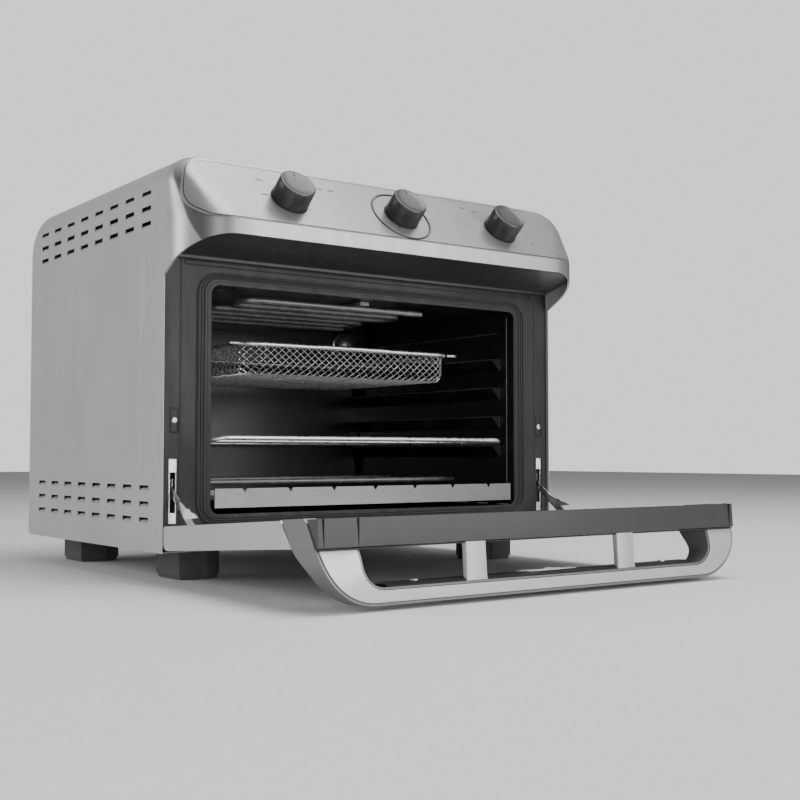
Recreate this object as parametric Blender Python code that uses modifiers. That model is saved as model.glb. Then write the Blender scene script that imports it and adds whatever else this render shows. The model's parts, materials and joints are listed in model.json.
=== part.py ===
"""Counter-top convection oven with a drop-down door, modelled in metres, +Z up.

Every piece is modelled in the frame of the cabinet: X across, Y into the oven from the front edge of
the side panels, Z up from the lower edge of the side panels. Pieces on the door are modelled with the
door shut and hang from an empty on the hinge axis, which holds the door open against its stop.
"""

import math

import bmesh
import bpy
from mathutils import Matrix, Vector

# ---- driving dimensions ----
WIDTH = 0.530
DEPTH = 0.388
TOP = 0.403
FOOT_HEIGHT = 0.031
CENTRE_SHIFT = -0.04815
SHEET = 0.001
GAP = 0.0003
TOP_RADIUS = 0.030
REAR_RADIUS = 0.028
HALF = WIDTH / 2

FRAME_Y = 0.0045
FRAME_BOTTOM = 0.012
FRAME_TOP = 0.3025

CAVITY_HALF = 0.209
CAVITY_FLOOR = 0.038
CAVITY_CEILING = 0.276
CAVITY_BACK = 0.345
WALL = 0.0012
LEDGE_PITCH = 0.036
LOWEST_LEDGE = 0.111
LEDGE_COUNT = 4
LEDGE_REACH = 0.012
LEDGE_FRONT = 0.0315

FASCIA_REACH = 0.067
LIP_TOP = 0.334
SLANT = 1.2
CORNER_RADIUS = 0.050
CORNER_TAPER = 0.6
CHEEK_BOTTOM = 0.2815
CHEEK_SLOPE = 0.545
SKIN = 0.0025

KNOB_SPACING = 0.1445
KNOB_BASE = (-0.0435, 0.3635)
KNOB_RADIUS = 0.0202
KNOB_HEIGHT = 0.0235
SHAFT_RADIUS = 0.003

DOOR_HALF = 0.2630
DOOR_THICK = 0.0243
AXIS_FROM_END = 0.00552
AXIS_FROM_INNER = 0.00979
DOOR_END = -0.003
DOOR_TOP = 0.2660
TRIM_TOP = 0.2832
DOOR_OPEN = 86.02
AXIS_Y = -0.00759
AXIS_Z = 0.01802

ARM_X = 0.2505
ARM_RADIUS = 0.0450
ARM_PIVOT_ANGLE = 4.0
ARM_ELEVATION = 35.9
ARM_LENGTH = 0.084
BRACKET_X = 0.2470

FAN_CENTRE = (0.0, 0.175)


# ---- scene, collections and materials ----
for old in list(bpy.data.objects):
    bpy.data.objects.remove(old, do_unlink=True)

PARTS = bpy.data.collections.new("counter_oven")
CUTTERS = bpy.data.collections.new("cutters")
bpy.context.scene.collection.children.link(PARTS)
bpy.context.scene.collection.children.link(CUTTERS)


def material(name, colour, roughness, metallic):
    """A Principled material with the given colour and finish."""
    made = bpy.data.materials.new(name)
    made.use_nodes = True
    shader = made.node_tree.nodes["Principled BSDF"]
    shader.inputs["Base Color"].default_value = (*colour, 1.0)
    shader.inputs["Roughness"].default_value = roughness
    shader.inputs["Metallic"].default_value = metallic
    return made


LIGHT_GREY = material("light_grey_paint", (0.42, 0.42, 0.42), 0.45, 0.0)
PLATE_GREY = material("plate_grey", (0.48, 0.48, 0.48), 0.35, 0.1)
DARK_GREY = material("dark_grey_paint", (0.09, 0.09, 0.095), 0.45, 0.0)
TRIM_GREY = material("door_trim_grey", (0.13, 0.13, 0.135), 0.4, 0.1)
BLACK = material("black_plastic", (0.02, 0.02, 0.02), 0.5, 0.0)
ENAMEL = material("cavity_enamel", (0.03, 0.03, 0.032), 0.35, 0.0)
STEEL = material("galvanised_steel", (0.6, 0.6, 0.6), 0.35, 1.0)
TRAY_STEEL = material("tray_aluminium", (0.62, 0.62, 0.62), 0.4, 0.9)
CHROME = material("chrome_wire", (0.8, 0.8, 0.8), 0.12, 1.0)
HEATER = material("heater_sheath", (0.22, 0.21, 0.2), 0.4, 0.8)
SEAL = material("seal_rubber", (0.03, 0.03, 0.03), 0.7, 0.0)
GLASS = material("door_glass", (0.05, 0.05, 0.055), 0.05, 0.0)
LAMP_GLASS = material("lamp_glass", (0.85, 0.85, 0.82), 0.05, 0.0)
KNOB = material("knob_grey", (0.16, 0.16, 0.165), 0.4, 0.2)
FOOT = material("foot_rubber", (0.05, 0.05, 0.05), 0.7, 0.0)


# ---- modelling helpers ----
def empty(name, location, angle_x=0.0, parent=None):
    """An empty turned about X, which the pieces of a moving group hang from."""
    made = bpy.data.objects.new(name, None)
    made.location = location
    made.rotation_euler = (angle_x, 0.0, 0.0)
    made.parent = parent
    PARTS.objects.link(made)
    return made


def link(name, mesh, finish, parent):
    """A new object; without a finish it is a cutter."""
    made = bpy.data.objects.new(name, mesh)
    made.parent = parent
    if finish is None:
        CUTTERS.objects.link(made)
        made.hide_render = True
        made.display_type = "WIRE"
    else:
        mesh.materials.append(finish)
        PARTS.objects.link(made)
    return made


def mesh_from(name, build):
    """A mesh made by a function that fills a BMesh, with its faces turned outwards."""
    bm = bmesh.new()
    build(bm)
    bmesh.ops.recalc_face_normals(bm, faces=bm.faces)
    mesh = bpy.data.meshes.new(name)
    bm.to_mesh(mesh)
    bm.free()
    return mesh


def box(name, low, high, finish=None, parent=None):
    """An upright block between two corners."""

    def build(bm):
        bmesh.ops.create_cube(bm, size=1.0)
        size = [h - l for l, h in zip(low, high)]
        middle = [(h + l) / 2 for l, h in zip(low, high)]
        bmesh.ops.scale(bm, vec=size, verts=bm.verts)
        bmesh.ops.translate(bm, vec=middle, verts=bm.verts)

    return link(name, mesh_from(name, build), finish, parent or ROOT)


def rod(name, start, end, radius, finish=None, parent=None, sides=16):
    """A straight cylinder between two points."""
    start, end = Vector(start), Vector(end)

    def build(bm):
        bmesh.ops.create_cone(bm, cap_ends=True, segments=sides, radius1=radius, radius2=radius,
                              depth=(end - start).length)
        turn = (end - start).to_track_quat("Z", "Y").to_matrix().to_4x4()
        bmesh.ops.transform(bm, matrix=Matrix.Translation((start + end) / 2) @ turn, verts=bm.verts)

    made = link(name, mesh_from(name, build), finish, parent or ROOT)
    made.data.shade_smooth()
    made.data.set_sharp_from_angle(angle=math.radians(40))
    return made


def prism(name, outline, low, high, axis, finish=None, parent=None):
    """A flat outline pushed along X, Y or Z from low to high.

    The outline's points are (y, z) for X, (x, z) for Y and (x, y) for Z.
    """
    place = {"X": lambda p, d: (d, p[0], p[1]), "Y": lambda p, d: (p[0], d, p[1]),
             "Z": lambda p, d: (p[0], p[1], d)}[axis]

    def build(bm):
        face = bm.faces.new([bm.verts.new(place(p, low)) for p in outline])
        pushed = bmesh.ops.extrude_face_region(bm, geom=[face])
        moved = [v for v in pushed["geom"] if isinstance(v, bmesh.types.BMVert)]
        shift = Vector(place((0.0, 0.0), high - low))
        bmesh.ops.translate(bm, vec=shift, verts=moved)

    return link(name, mesh_from(name, build), finish, parent or ROOT)


def round_rect(x0, x1, z0, z1, radius, steps=4):
    """The outline of a rectangle with round corners."""
    corners = [(x1 - radius, z1 - radius, 0), (x0 + radius, z1 - radius, 90),
               (x0 + radius, z0 + radius, 180), (x1 - radius, z0 + radius, 270)]
    points = []
    for cx, cz, start in corners:
        for i in range(steps + 1):
            a = math.radians(start + 90 * i / steps)
            points.append((cx + radius * math.cos(a), cz + radius * math.sin(a)))
    return points


def turned(name, profile, place, finish, parent=None, steps=28):
    """A turned piece: the profile is (radius, height) from the top down the outer side."""
    mesh = bpy.data.meshes.new(name)
    points = [(r, 0.0, h) for r, h in profile]
    mesh.from_pydata(points, [(i, i + 1) for i in range(len(points) - 1)], [])
    made = link(name, mesh, finish, parent or ROOT)
    made.matrix_local = place
    screw = made.modifiers.new("turn", "SCREW")
    screw.steps = steps
    screw.render_steps = steps
    screw.use_merge_vertices = True
    screw.merge_threshold = 0.00001
    screw.use_smooth_shade = True
    return made


def tube(name, points, radius, finish, parent=None):
    """A wire or pipe along the points, as a mesh with welded caps."""
    curve = bpy.data.curves.new(name, "CURVE")
    curve.dimensions = "3D"
    curve.bevel_depth = radius
    curve.bevel_resolution = 1
    curve.use_fill_caps = True
    spline = curve.splines.new("POLY")
    spline.points.add(len(points) - 1)
    for point, place in zip(spline.points, points):
        point.co = (*place, 1.0)
    drawn = bpy.data.objects.new(name + "_path", curve)
    PARTS.objects.link(drawn)
    bpy.context.view_layer.update()
    mesh = bpy.data.meshes.new_from_object(drawn.evaluated_get(bpy.context.evaluated_depsgraph_get()))
    bpy.data.objects.remove(drawn, do_unlink=True)
    bm = bmesh.new()
    bm.from_mesh(mesh)
    bmesh.ops.remove_doubles(bm, verts=bm.verts, dist=0.00002)
    bmesh.ops.recalc_face_normals(bm, faces=bm.faces)
    bm.to_mesh(mesh)
    bm.free()
    mesh.materials.clear()
    return link(name, mesh, finish, parent or ROOT)


def combine(target, other, operation):
    """A Boolean of two solids; a cutter stays in the cutters' collection."""
    step = target.modifiers.new(operation.lower(), "BOOLEAN")
    step.operation = operation
    step.solver = "EXACT"
    step.object = other
    return target


def cut(target, *cutters):
    """Takes each cutter away from the target."""
    for cutter in cutters:
        combine(target, cutter, "DIFFERENCE")
    return target


def bevel(target, width, segments=1):
    """Rounds the sharp edges of a piece."""
    step = target.modifiers.new("edges", "BEVEL")
    step.width = width
    step.segments = segments
    step.limit_method = "ANGLE"
    step.angle_limit = math.radians(40)
    return target


def bend(points, radius, steps=3):
    """Rounds the inner corners of a route of straight runs."""
    points = [Vector(p) for p in points]
    route = [points[0]]
    for before, corner, after in zip(points, points[1:], points[2:]):
        back = (before - corner).normalized() * radius
        ahead = (after - corner).normalized() * radius
        for i in range(steps + 1):
            t = i / steps
            route.append(corner + back * (1 - t) ** 2 + ahead * t ** 2)
    return route + [points[-1]]


ROOT = empty("oven_frame", (0.0, CENTRE_SHIFT, FOOT_HEIGHT))
DOOR = empty("door_axis", (0.0, AXIS_Y, AXIS_Z), math.radians(DOOR_OPEN), ROOT)


# ---- cabinet ----
def louvre_centres():
    """Where the side louvres sit: eight columns, and three rows at the top and at the bottom."""
    columns = [0.045 + i * 0.0422 for i in range(8)]
    rows = [0.3705, 0.3540, 0.3380, 0.0645, 0.0480, 0.0315]
    return [(y, z) for y in columns for z in rows]


def build_cabinet():
    """The folded sheet over the top and both sides, with its louvre slots."""
    stations = [0.0, DEPTH - REAR_RADIUS]
    stations += [DEPTH - REAR_RADIUS * (1 - math.sin(math.radians(a))) for a in (25, 50, 75)]
    rows = []
    for y in stations:
        past = max(0.0, y - (DEPTH - REAR_RADIUS)) / REAR_RADIUS
        top = TOP - REAR_RADIUS * (1 - math.sqrt(1 - past ** 2))
        arc = [(HALF - TOP_RADIUS * (1 - math.cos(a)), top - TOP_RADIUS * (1 - math.sin(a)))
               for a in (math.radians(18 * i) for i in range(6))]
        right = [(HALF, 0.0)] + arc
        rows.append([(x, y, z) for x, z in right] + [(-x, y, z) for x, z in reversed(right)])

    def build(bm):
        grid = [[bm.verts.new(p) for p in row] for row in rows]
        for near, far in zip(grid, grid[1:]):
            for i in range(len(near) - 1):
                bm.faces.new((near[i], near[i + 1], far[i + 1], far[i]))

    cabinet = link("outer_cabinet", mesh_from("outer_cabinet", build), LIGHT_GREY, ROOT)
    shell = cabinet.modifiers.new("sheet", "SOLIDIFY")
    shell.thickness = SHEET
    shell.offset = -1.0

    slot_length = 0.021
    slot_height = 0.0030

    def slots(bm):
        for y, z in louvre_centres():
            made = bmesh.ops.create_cube(bm, size=1.0)["verts"]
            bmesh.ops.scale(bm, vec=(WIDTH + 0.02, slot_length, slot_height), verts=made)
            bmesh.ops.translate(bm, vec=(0.0, y, z), verts=made)

    cut(cabinet, link("louvre_slots", mesh_from("louvre_slots", slots), None, ROOT))


def build_panels():
    """The base, the back and the plate that carries the controls."""
    inner = HALF - SHEET - GAP
    box("base_panel", (-inner, FRAME_Y + 0.0023, 0.0002), (inner, DEPTH - 0.0045, 0.0014), STEEL)
    top = TOP - 0.0199
    radius = TOP_RADIUS
    corner = [(inner - radius * (1 - math.cos(a)), top - radius * (1 - math.sin(a)))
              for a in (math.radians(18 * i) for i in range(6))]
    outline = [(-inner, 0.0017), (inner, 0.0017)] + corner + [(-x, z) for x, z in reversed(corner)]
    back = prism("back_panel", outline, DEPTH - 0.0042, DEPTH - 0.0030, "Y", LIGHT_GREY)
    vents = [box(f"back_vent_{i}", (-0.10, DEPTH - 0.01, 0.24 + 0.014 * i), (0.10, DEPTH, 0.246 + 0.014 * i))
             for i in range(4)]
    inlet = rod("inlet_hole", (0.19, DEPTH - 0.01, 0.05), (0.19, DEPTH + 0.01, 0.05), 0.0085, sides=16)
    cut(back, inlet, *vents)
    outline = [(0.0, 0.0), (0.008, 0.0), (0.008, -0.0078), (0.0125, -0.0080), (0.0125, -0.0103),
               (0.0, -0.0103)]
    facing_back = Matrix.Translation((0.19, DEPTH - 0.0105, 0.05)) @ Matrix.Rotation(math.radians(90), 4, "X")
    gland = turned("cord_gland", outline, facing_back, BLACK, steps=16)
    gland.data.shade_smooth()


def build_feet():
    """Four D-shaped feet: flat towards the outside, round towards the middle."""
    half_width = 0.030
    for side in (-1, 1):
        for row, y in (("front", 0.062), ("rear", 0.330)):
            points = [(side * 0.229, y - half_width), (side * 0.229, y + half_width)]
            arc = [math.radians(90 - 180 * i / 8) for i in range(9)]
            points += [(side * (0.201 - half_width * math.cos(a)), y + half_width * math.sin(a)) for a in arc]
            name = "foot_%s_%s" % (row, "left" if side < 0 else "right")
            foot = prism(name, points, -FOOT_HEIGHT, -0.0002, "Z", FOOT)
            bevel(foot, 0.0015)


def build_front_frame():
    """The dark plate around the cavity, with a pressed groove and the two hinge slots."""
    inner = HALF - SHEET - GAP
    frame = box("front_frame", (-inner, FRAME_Y, FRAME_BOTTOM), (inner, FRAME_Y + 0.0015, FRAME_TOP),
                DARK_GREY)
    opening = prism("frame_opening", round_rect(-0.2185, 0.2185, 0.0300, 0.2845, 0.02), FRAME_Y - 0.01,
                    FRAME_Y + 0.01, "Y")
    groove = prism("frame_groove", round_rect(-0.240, 0.236, 0.2945, 0.2995, 0.0024, 2), FRAME_Y - 0.01,
                   FRAME_Y + 0.0007, "Y")
    cutters = [opening, groove]
    for side in (-1, 1):
        low, high = sorted((side * 0.2460, side * 0.2555))
        cutters.append(box("hinge_slot_cut", (low, FRAME_Y - 0.01, 0.0295), (high, FRAME_Y + 0.01, 0.0950)))
        low, high = sorted((side * 0.2440, side * 0.2500))
        cutters.append(box("bracket_slot_cut", (low, FRAME_Y - 0.01, 0.0), (high, FRAME_Y + 0.01, 0.0278)))
    cut(frame, *cutters)


def ring(name, outer, inner, low, high, finish, parent=None):
    """A flat ring between two outlines, pushed along Y."""
    made = prism(name, outer, low, high, "Y", finish, parent)
    return cut(made, prism(name + "_hole", inner, low - 0.01, high + 0.01, "Y", None, parent))


def build_seal():
    """The flat silicone seal on the front frame."""
    outer = round_rect(-0.2375, 0.2375, 0.0235, 0.2915, 0.026)
    inner = round_rect(-0.2190, 0.2190, 0.0299, 0.2846, 0.0204)
    ring("door_gasket", outer, inner, FRAME_Y - 0.0020, FRAME_Y - GAP, SEAL)


# ---- cavity ----
def ledge_heights():
    """Top faces of the shelf ledges, lowest first."""
    return [LOWEST_LEDGE + LEDGE_PITCH * i for i in range(LEDGE_COUNT)]


def build_side_wall(name, side):
    """A cavity side wall, whose ledges are pressed inwards from the sheet."""
    inner = CAVITY_HALF
    outer = inner + WALL
    points_out = [(outer, CAVITY_FLOOR)]
    points_in = [(inner, CAVITY_FLOOR)]
    for z in ledge_heights():
        reach = inner - LEDGE_REACH
        points_in += [(inner, z - 0.0150), (reach, z - 0.0015), (reach, z), (inner, z + 0.0005)]
        points_out += [(outer, z - 0.0145), (reach + WALL + 0.0003, z - 0.0017), (outer, z - 0.0017)]
    points_in.append((inner, CAVITY_CEILING))
    points_out.append((outer, CAVITY_CEILING))
    outline = [(side * x, z) for x, z in points_out + points_in[::-1]]
    wall = prism(name, outline, LEDGE_FRONT, CAVITY_BACK, "Y", ENAMEL)
    flat = [(side * x, z) for x, z in ((inner, CAVITY_FLOOR), (outer, CAVITY_FLOOR), (outer, CAVITY_CEILING),
                                       (inner, CAVITY_CEILING))]
    combine(wall, prism(name + "_front", flat, FRAME_Y + 0.0005, LEDGE_FRONT + WALL, "Y"), "UNION")
    for i, z in enumerate(ledge_heights()):
        reach = inner - LEDGE_REACH
        end = [(inner + WALL / 2, z - 0.0150), (inner, z - 0.0150), (reach, z - 0.0015), (reach, z),
               (inner, z + 0.0005), (inner + WALL / 2, z + 0.0005)]
        end = [(side * x, z) for x, z in end]
        combine(wall, prism(f"{name}_end_{i}", end, LEDGE_FRONT, LEDGE_FRONT + WALL, "Y"), "UNION")


def build_cavity():
    """Floor, ceiling, sides and back of the cooking space, and the light strip round its mouth."""
    front = FRAME_Y + 0.0005
    wide = CAVITY_HALF + WALL
    box("liner_floor", (-wide, front, CAVITY_FLOOR - WALL - GAP), (wide, CAVITY_BACK, CAVITY_FLOOR - GAP),
        ENAMEL)
    ceiling = box("liner_ceiling", (-wide, front, CAVITY_CEILING + GAP),
                  (wide, CAVITY_BACK, CAVITY_CEILING + WALL + GAP), ENAMEL)
    fx, fy = FAN_CENTRE
    spokes = [box(f"fan_grille_{i}", (fx - 0.055, fy - 0.0555 + 0.018 * i, 0.27),
                  (fx + 0.055, fy - 0.0475 + 0.018 * i, 0.29)) for i in range(7)]
    cut(ceiling, *spokes)
    build_side_wall("liner_left", -1)
    build_side_wall("liner_right", 1)
    back = box("liner_back", (-wide, CAVITY_BACK + GAP, CAVITY_FLOOR - WALL - GAP),
               (wide, CAVITY_BACK + GAP + WALL, CAVITY_CEILING + WALL + GAP), ENAMEL)
    cut(back, rod("lamp_hole", (0.180, 0.33, 0.2585), (0.180, 0.36, 0.2585), 0.0125))
    outer = round_rect(-0.2182, 0.2182, 0.0303, 0.2842, 0.0202)
    inner = round_rect(-CAVITY_HALF, CAVITY_HALF, CAVITY_FLOOR, CAVITY_CEILING, 0.012)
    ring("liner_flange", outer, inner, FRAME_Y - 0.0008, FRAME_Y + 0.0002, DARK_GREY)


def serpentine(x_half, y_first, pitch, passes, z):
    """A heater's route: it runs to and fro across the oven, one pass behind the other."""
    corners = [(x_half, y_first, z)]
    side = -1
    for i in range(passes):
        y = y_first + pitch * i
        if i:
            corners.append((-side * x_half, y, z))
        corners.append((side * x_half, y, z))
        side = -side
    return bend(corners, pitch * 0.42)


def build_heaters():
    """The serpentine under the ceiling with its hangers, and the U-shaped heater under the tray's edge."""
    height = CAVITY_CEILING - 0.0085
    shift = Vector((-0.032, 0.0, 0.0))
    route = [point + shift for point in serpentine(0.118, 0.034, 0.040, 6, height)]
    route.append(route[-1] + Vector((0.020, 0.0, 0.0)))
    tube("heater_upper", route, 0.0033, HEATER)
    box("heater_hanger", (-0.006, 0.027, height + 0.0037), (0.006, 0.241, CAVITY_CEILING - GAP), STEEL)
    low = CAVITY_FLOOR + 0.0300
    lower = bend([(0.196, 0.110, low), (-0.180, 0.110, low), (-0.180, 0.250, low), (0.196, 0.250, low)], 0.02)
    tube("heater_lower", lower, 0.0033, HEATER)


def build_lamp():
    """The oven lamp: a glass dome in the back wall and its holder behind."""
    toward_door = Matrix.Translation((0.180, CAVITY_BACK, 0.2585)) @ Matrix.Rotation(math.radians(90), 4, "X")
    radius = 0.0155
    angles = [math.radians(a) for a in range(0, 91, 15)]
    dome = [(radius * math.sin(a), 0.004 + 0.013 * math.cos(a)) for a in angles]
    turned("oven_lamp_glass", dome + [(radius, 0.0006), (0.0, 0.0006)], toward_door, LAMP_GLASS, steps=20)
    holder = [(0.0, 0.0), (0.0118, 0.0), (0.0118, -0.024), (0.0, -0.024)]
    turned("lamp_holder", holder, toward_door, BLACK, steps=16)


def build_fan():
    """The ceiling fan: a bladed rotor on the motor's shaft, above the grille."""
    fx, fy = FAN_CENTRE
    rotor_z = 0.2865
    hub = rod("fan_rotor", (fx, fy, rotor_z - 0.003), (fx, fy, rotor_z + 0.0135), 0.011, STEEL, sides=16)
    hub.data.transform(Matrix.Translation((-fx, -fy, -rotor_z)))
    hub.location = (fx, fy, rotor_z)
    blades = 8
    for i in range(blades):
        blade = box(f"blade_{i}", (0.0095, -0.0006, -0.0022), (0.052, 0.0006, 0.0115))
        blade.location = (fx, fy, rotor_z)
        blade.rotation_euler = (0.0, 0.0, math.radians(360 * i / blades))
        combine(hub, blade, "UNION")
    angles = [math.radians(a) for a in range(0, 360, 15)]
    rim = [(0.054 * math.cos(a), 0.054 * math.sin(a)) for a in angles]
    plate = prism("rotor_disc", rim, 0.0110, 0.0120, "Z")
    plate.location = (fx, fy, rotor_z)
    combine(hub, plate, "UNION")
    shaft = rod("rotor_shaft", (fx, fy, rotor_z + 0.0125), (fx, fy, rotor_z + 0.0177), 0.004, sides=12)
    combine(hub, shaft, "UNION")
    motor_low = rotor_z + 0.0180
    can = [(0.0, 0.045), (0.026, 0.045), (0.028, 0.043), (0.028, 0.002), (0.026, 0.0), (0.0, 0.0)]
    turned("fan_motor", can, Matrix.Translation((fx, fy, motor_low)), STEEL, steps=24)
    bridge = box("motor_bridge", (fx - 0.205, fy - 0.020, motor_low - 0.0018),
                 (fx + 0.205, fy + 0.020, motor_low - 0.0003), STEEL)
    for i, x in enumerate((-0.205, 0.1915)):
        leg = box(f"bridge_leg_{i}", (fx + x, fy - 0.020, CAVITY_CEILING + WALL + 2 * GAP),
                  (fx + x + 0.0135, fy + 0.020, motor_low - 0.0010))
        combine(bridge, leg, "UNION")
    cut(bridge, rod("motor_shaft_hole", (fx, fy, motor_low - 0.01), (fx, fy, motor_low + 0.001), 0.006))
    return rotor_z


# ---- cooking gear ----
def build_tray():
    """The crumb tray: a shallow pan with a tall front lip that has seven V notches."""
    front, back = FRAME_Y + 0.0005, 0.335
    pan = box("crumb_tray", (-0.2035, front, 0.0435), (0.2035, back, 0.0640), TRAY_STEEL)
    hollow = box("tray_hollow", (-0.2023, front + 0.0012, 0.0447), (0.2023, back - 0.0012, 0.08))
    low_rim = box("tray_low_rim", (-0.3, front + 0.0012, 0.0520), (0.3, back + 0.1, 0.08))
    notches = []
    for i in range(7):
        x = 0.056 * (i - 3)
        vee = [(x - 0.0035, 0.0650), (x, 0.0595), (x + 0.0035, 0.0650)]
        notches.append(prism(f"tray_notch_{i}", vee, front - 0.01, front + 0.01, "Y"))
    cut(pan, hollow, low_rim, *notches)


def build_rack():
    """The wire rack: a frame that rests on the lowest ledges, and cross wires on it."""
    wire = 0.0024
    z = LOWEST_LEDGE + wire + GAP
    half, front, back = 0.2025, 0.013, 0.330
    side_wires = [(half, back, z), (half, front + 0.012, z), (half - 0.012, front, z + 0.0035),
                  (-half + 0.012, front, z + 0.0035), (-half, front + 0.012, z), (-half, back, z)]
    rack = tube("wire_rack", bend(side_wires, 0.005, 2), wire, CHROME)
    rear_line = [(side * (half + 0.0005), back - 0.0047, z + 0.0003) for side in (1, -1)]
    rear = tube("rack_rear_wire", rear_line, 0.0019, None)
    combine(rack, rear, "UNION")
    for i in range(7):
        x = -0.156 + 0.052 * i
        rung_line = [(x, front + 0.0004, z + 0.0038), (x, back - 0.0030, z + 0.0029)]
        rung = tube(f"rack_rung_{i}", rung_line, 0.0016, None)
        combine(rack, rung, "UNION")


def build_basket():
    """The frying basket: an open pan with round corners, and the wire frame that carries it."""
    rim = LOWEST_LEDGE + 3 * LEDGE_PITCH
    half, front, back = 0.143, 0.052, 0.312
    rim_z, floor_z = rim + 0.0060, rim - 0.0305
    levels = [(0.0, rim_z), (0.001, rim_z - 0.022), (0.004, floor_z + 0.006), (0.011, floor_z)]

    def build(bm):
        rows = []
        for inset, z in levels:
            outline = round_rect(-half + inset, half - inset, front + inset, back - inset, 0.022, 3)
            rows.append([bm.verts.new((x, y, z)) for x, y in outline])
        for high, low in zip(rows, rows[1:]):
            for i in range(len(high)):
                j = (i + 1) % len(high)
                bm.faces.new((high[i], low[i], low[j], high[j]))
        bm.faces.new(rows[-1])

    basket = link("fry_basket", mesh_from("fry_basket", build), CHROME, ROOT)
    shell = basket.modifiers.new("mesh_sheet", "SOLIDIFY")
    shell.thickness = 0.0012
    side_face = basket.data.polygons[0]
    outwards = side_face.normal.dot(side_face.center - Vector((0.0, (front + back) / 2, rim_z))) > 0
    shell.offset = -1.0 if outwards else 1.0

    wire = 0.0022
    reach = half + wire + 0.0008
    rail = rim_z - 0.0026
    outline = round_rect(-reach, reach, front - wire - 0.0008, back + wire + 0.0008, 0.024, 3)
    loop = [(x, y, rail) for x, y in outline]
    start = (Vector(loop[0]) + Vector(loop[-1])) / 2
    hoop = tube("basket_frame", [start, *loop, start + Vector((0.0, -0.0001, 0.0))], wire, CHROME)
    bar = rim + wire + GAP
    for i, y in enumerate((0.150, 0.270)):
        for side in (-1, 1):
            wing = [(side * (reach - 0.0005), y, rail), (side * (reach + 0.012), y, bar),
                    (side * 0.2040, y, bar)]
            combine(hoop, tube(f"basket_wing_{i}_{side}", wing, wire * 0.9, None), "UNION")


# ---- control fascia ----
def plan_half(z):
    """Half the width of the fascia at a height, as its top edges round off."""
    if z <= TOP - TOP_RADIUS:
        return HALF
    rise = z - (TOP - TOP_RADIUS)
    return HALF - TOP_RADIUS + math.sqrt(max(0.0, TOP_RADIUS ** 2 - rise ** 2))


def plan_reach(z):
    """How far the fascia stands out in front at a height."""
    return FASCIA_REACH - max(0.0, z - LIP_TOP) / SLANT


def plan_radius(z):
    """The radius of the fascia's plan corner at a height."""
    return CORNER_RADIUS - CORNER_TAPER * max(0.0, z - LIP_TOP)


def plan_path(z, steps=6):
    """The fascia's outline in plan at a height, from the rear left round the front to the rear right."""
    half, reach, radius = plan_half(z), plan_reach(z), plan_radius(z)
    right = [(half, 0.0)]
    for i in range(steps + 1):
        a = math.radians(90 * i / steps)
        right.append((half - radius * (1 - math.cos(a)), -reach + radius * (1 - math.sin(a))))
    return [(-x, y) for x, y in right] + [(x, y) for x, y in reversed(right)]


def build_fascia():
    """The sculpted light shell above the door: a loft of plan outlines with a slanted lower cut."""
    levels = [LIP_TOP, 0.350, 0.366, 0.380, 0.391, 0.398, TOP]
    rows = [[(x, y, CHEEK_BOTTOM - CHEEK_SLOPE * y) for x, y in plan_path(LIP_TOP)]]
    rows += [[(x, y, z) for x, y in plan_path(z)] for z in levels]
    rows.append([(x, 0.0, TOP) for x, y in plan_path(TOP)])

    def build(bm):
        grid = [[bm.verts.new(p) for p in row] for row in rows]
        for low, high in zip(grid, grid[1:]):
            for i in range(len(low) - 1):
                bm.faces.new((low[i], low[i + 1], high[i + 1], high[i]))
        bmesh.ops.remove_doubles(bm, verts=bm.verts, dist=0.00001)
        bmesh.ops.dissolve_degenerate(bm, dist=0.00001, edges=bm.edges)
        bmesh.ops.translate(bm, vec=(0.0, -GAP, 0.0), verts=bm.verts)

    fascia = link("control_fascia", mesh_from("control_fascia", build), LIGHT_GREY, ROOT)
    shell = fascia.modifiers.new("skin", "SOLIDIFY")
    shell.thickness = SKIN
    shell.offset = -1.0
    normal = Vector((0.0, -SLANT, 1.0)).normalized()
    base = Vector((0.0, *KNOB_BASE))
    holes = []
    for i, x in enumerate((-KNOB_SPACING, 0.0, KNOB_SPACING)):
        middle = base + Vector((x, 0.0, 0.0))
        holes.append(rod(f"shaft_hole_{i}", middle - normal * 0.02, middle + normal * 0.02, 0.0045, sides=16))
    cut(fascia, *holes)
    return base, normal


def slant_frame(base, normal, x, off):
    """A placement on the slanted front: local Z points out of it, local Y up the slope."""
    along = Vector((1.0, 0.0, 0.0))
    turn = Matrix((along, normal.cross(along), normal)).transposed().to_4x4()
    return Matrix.Translation(base + along * x + normal * off) @ turn


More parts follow.
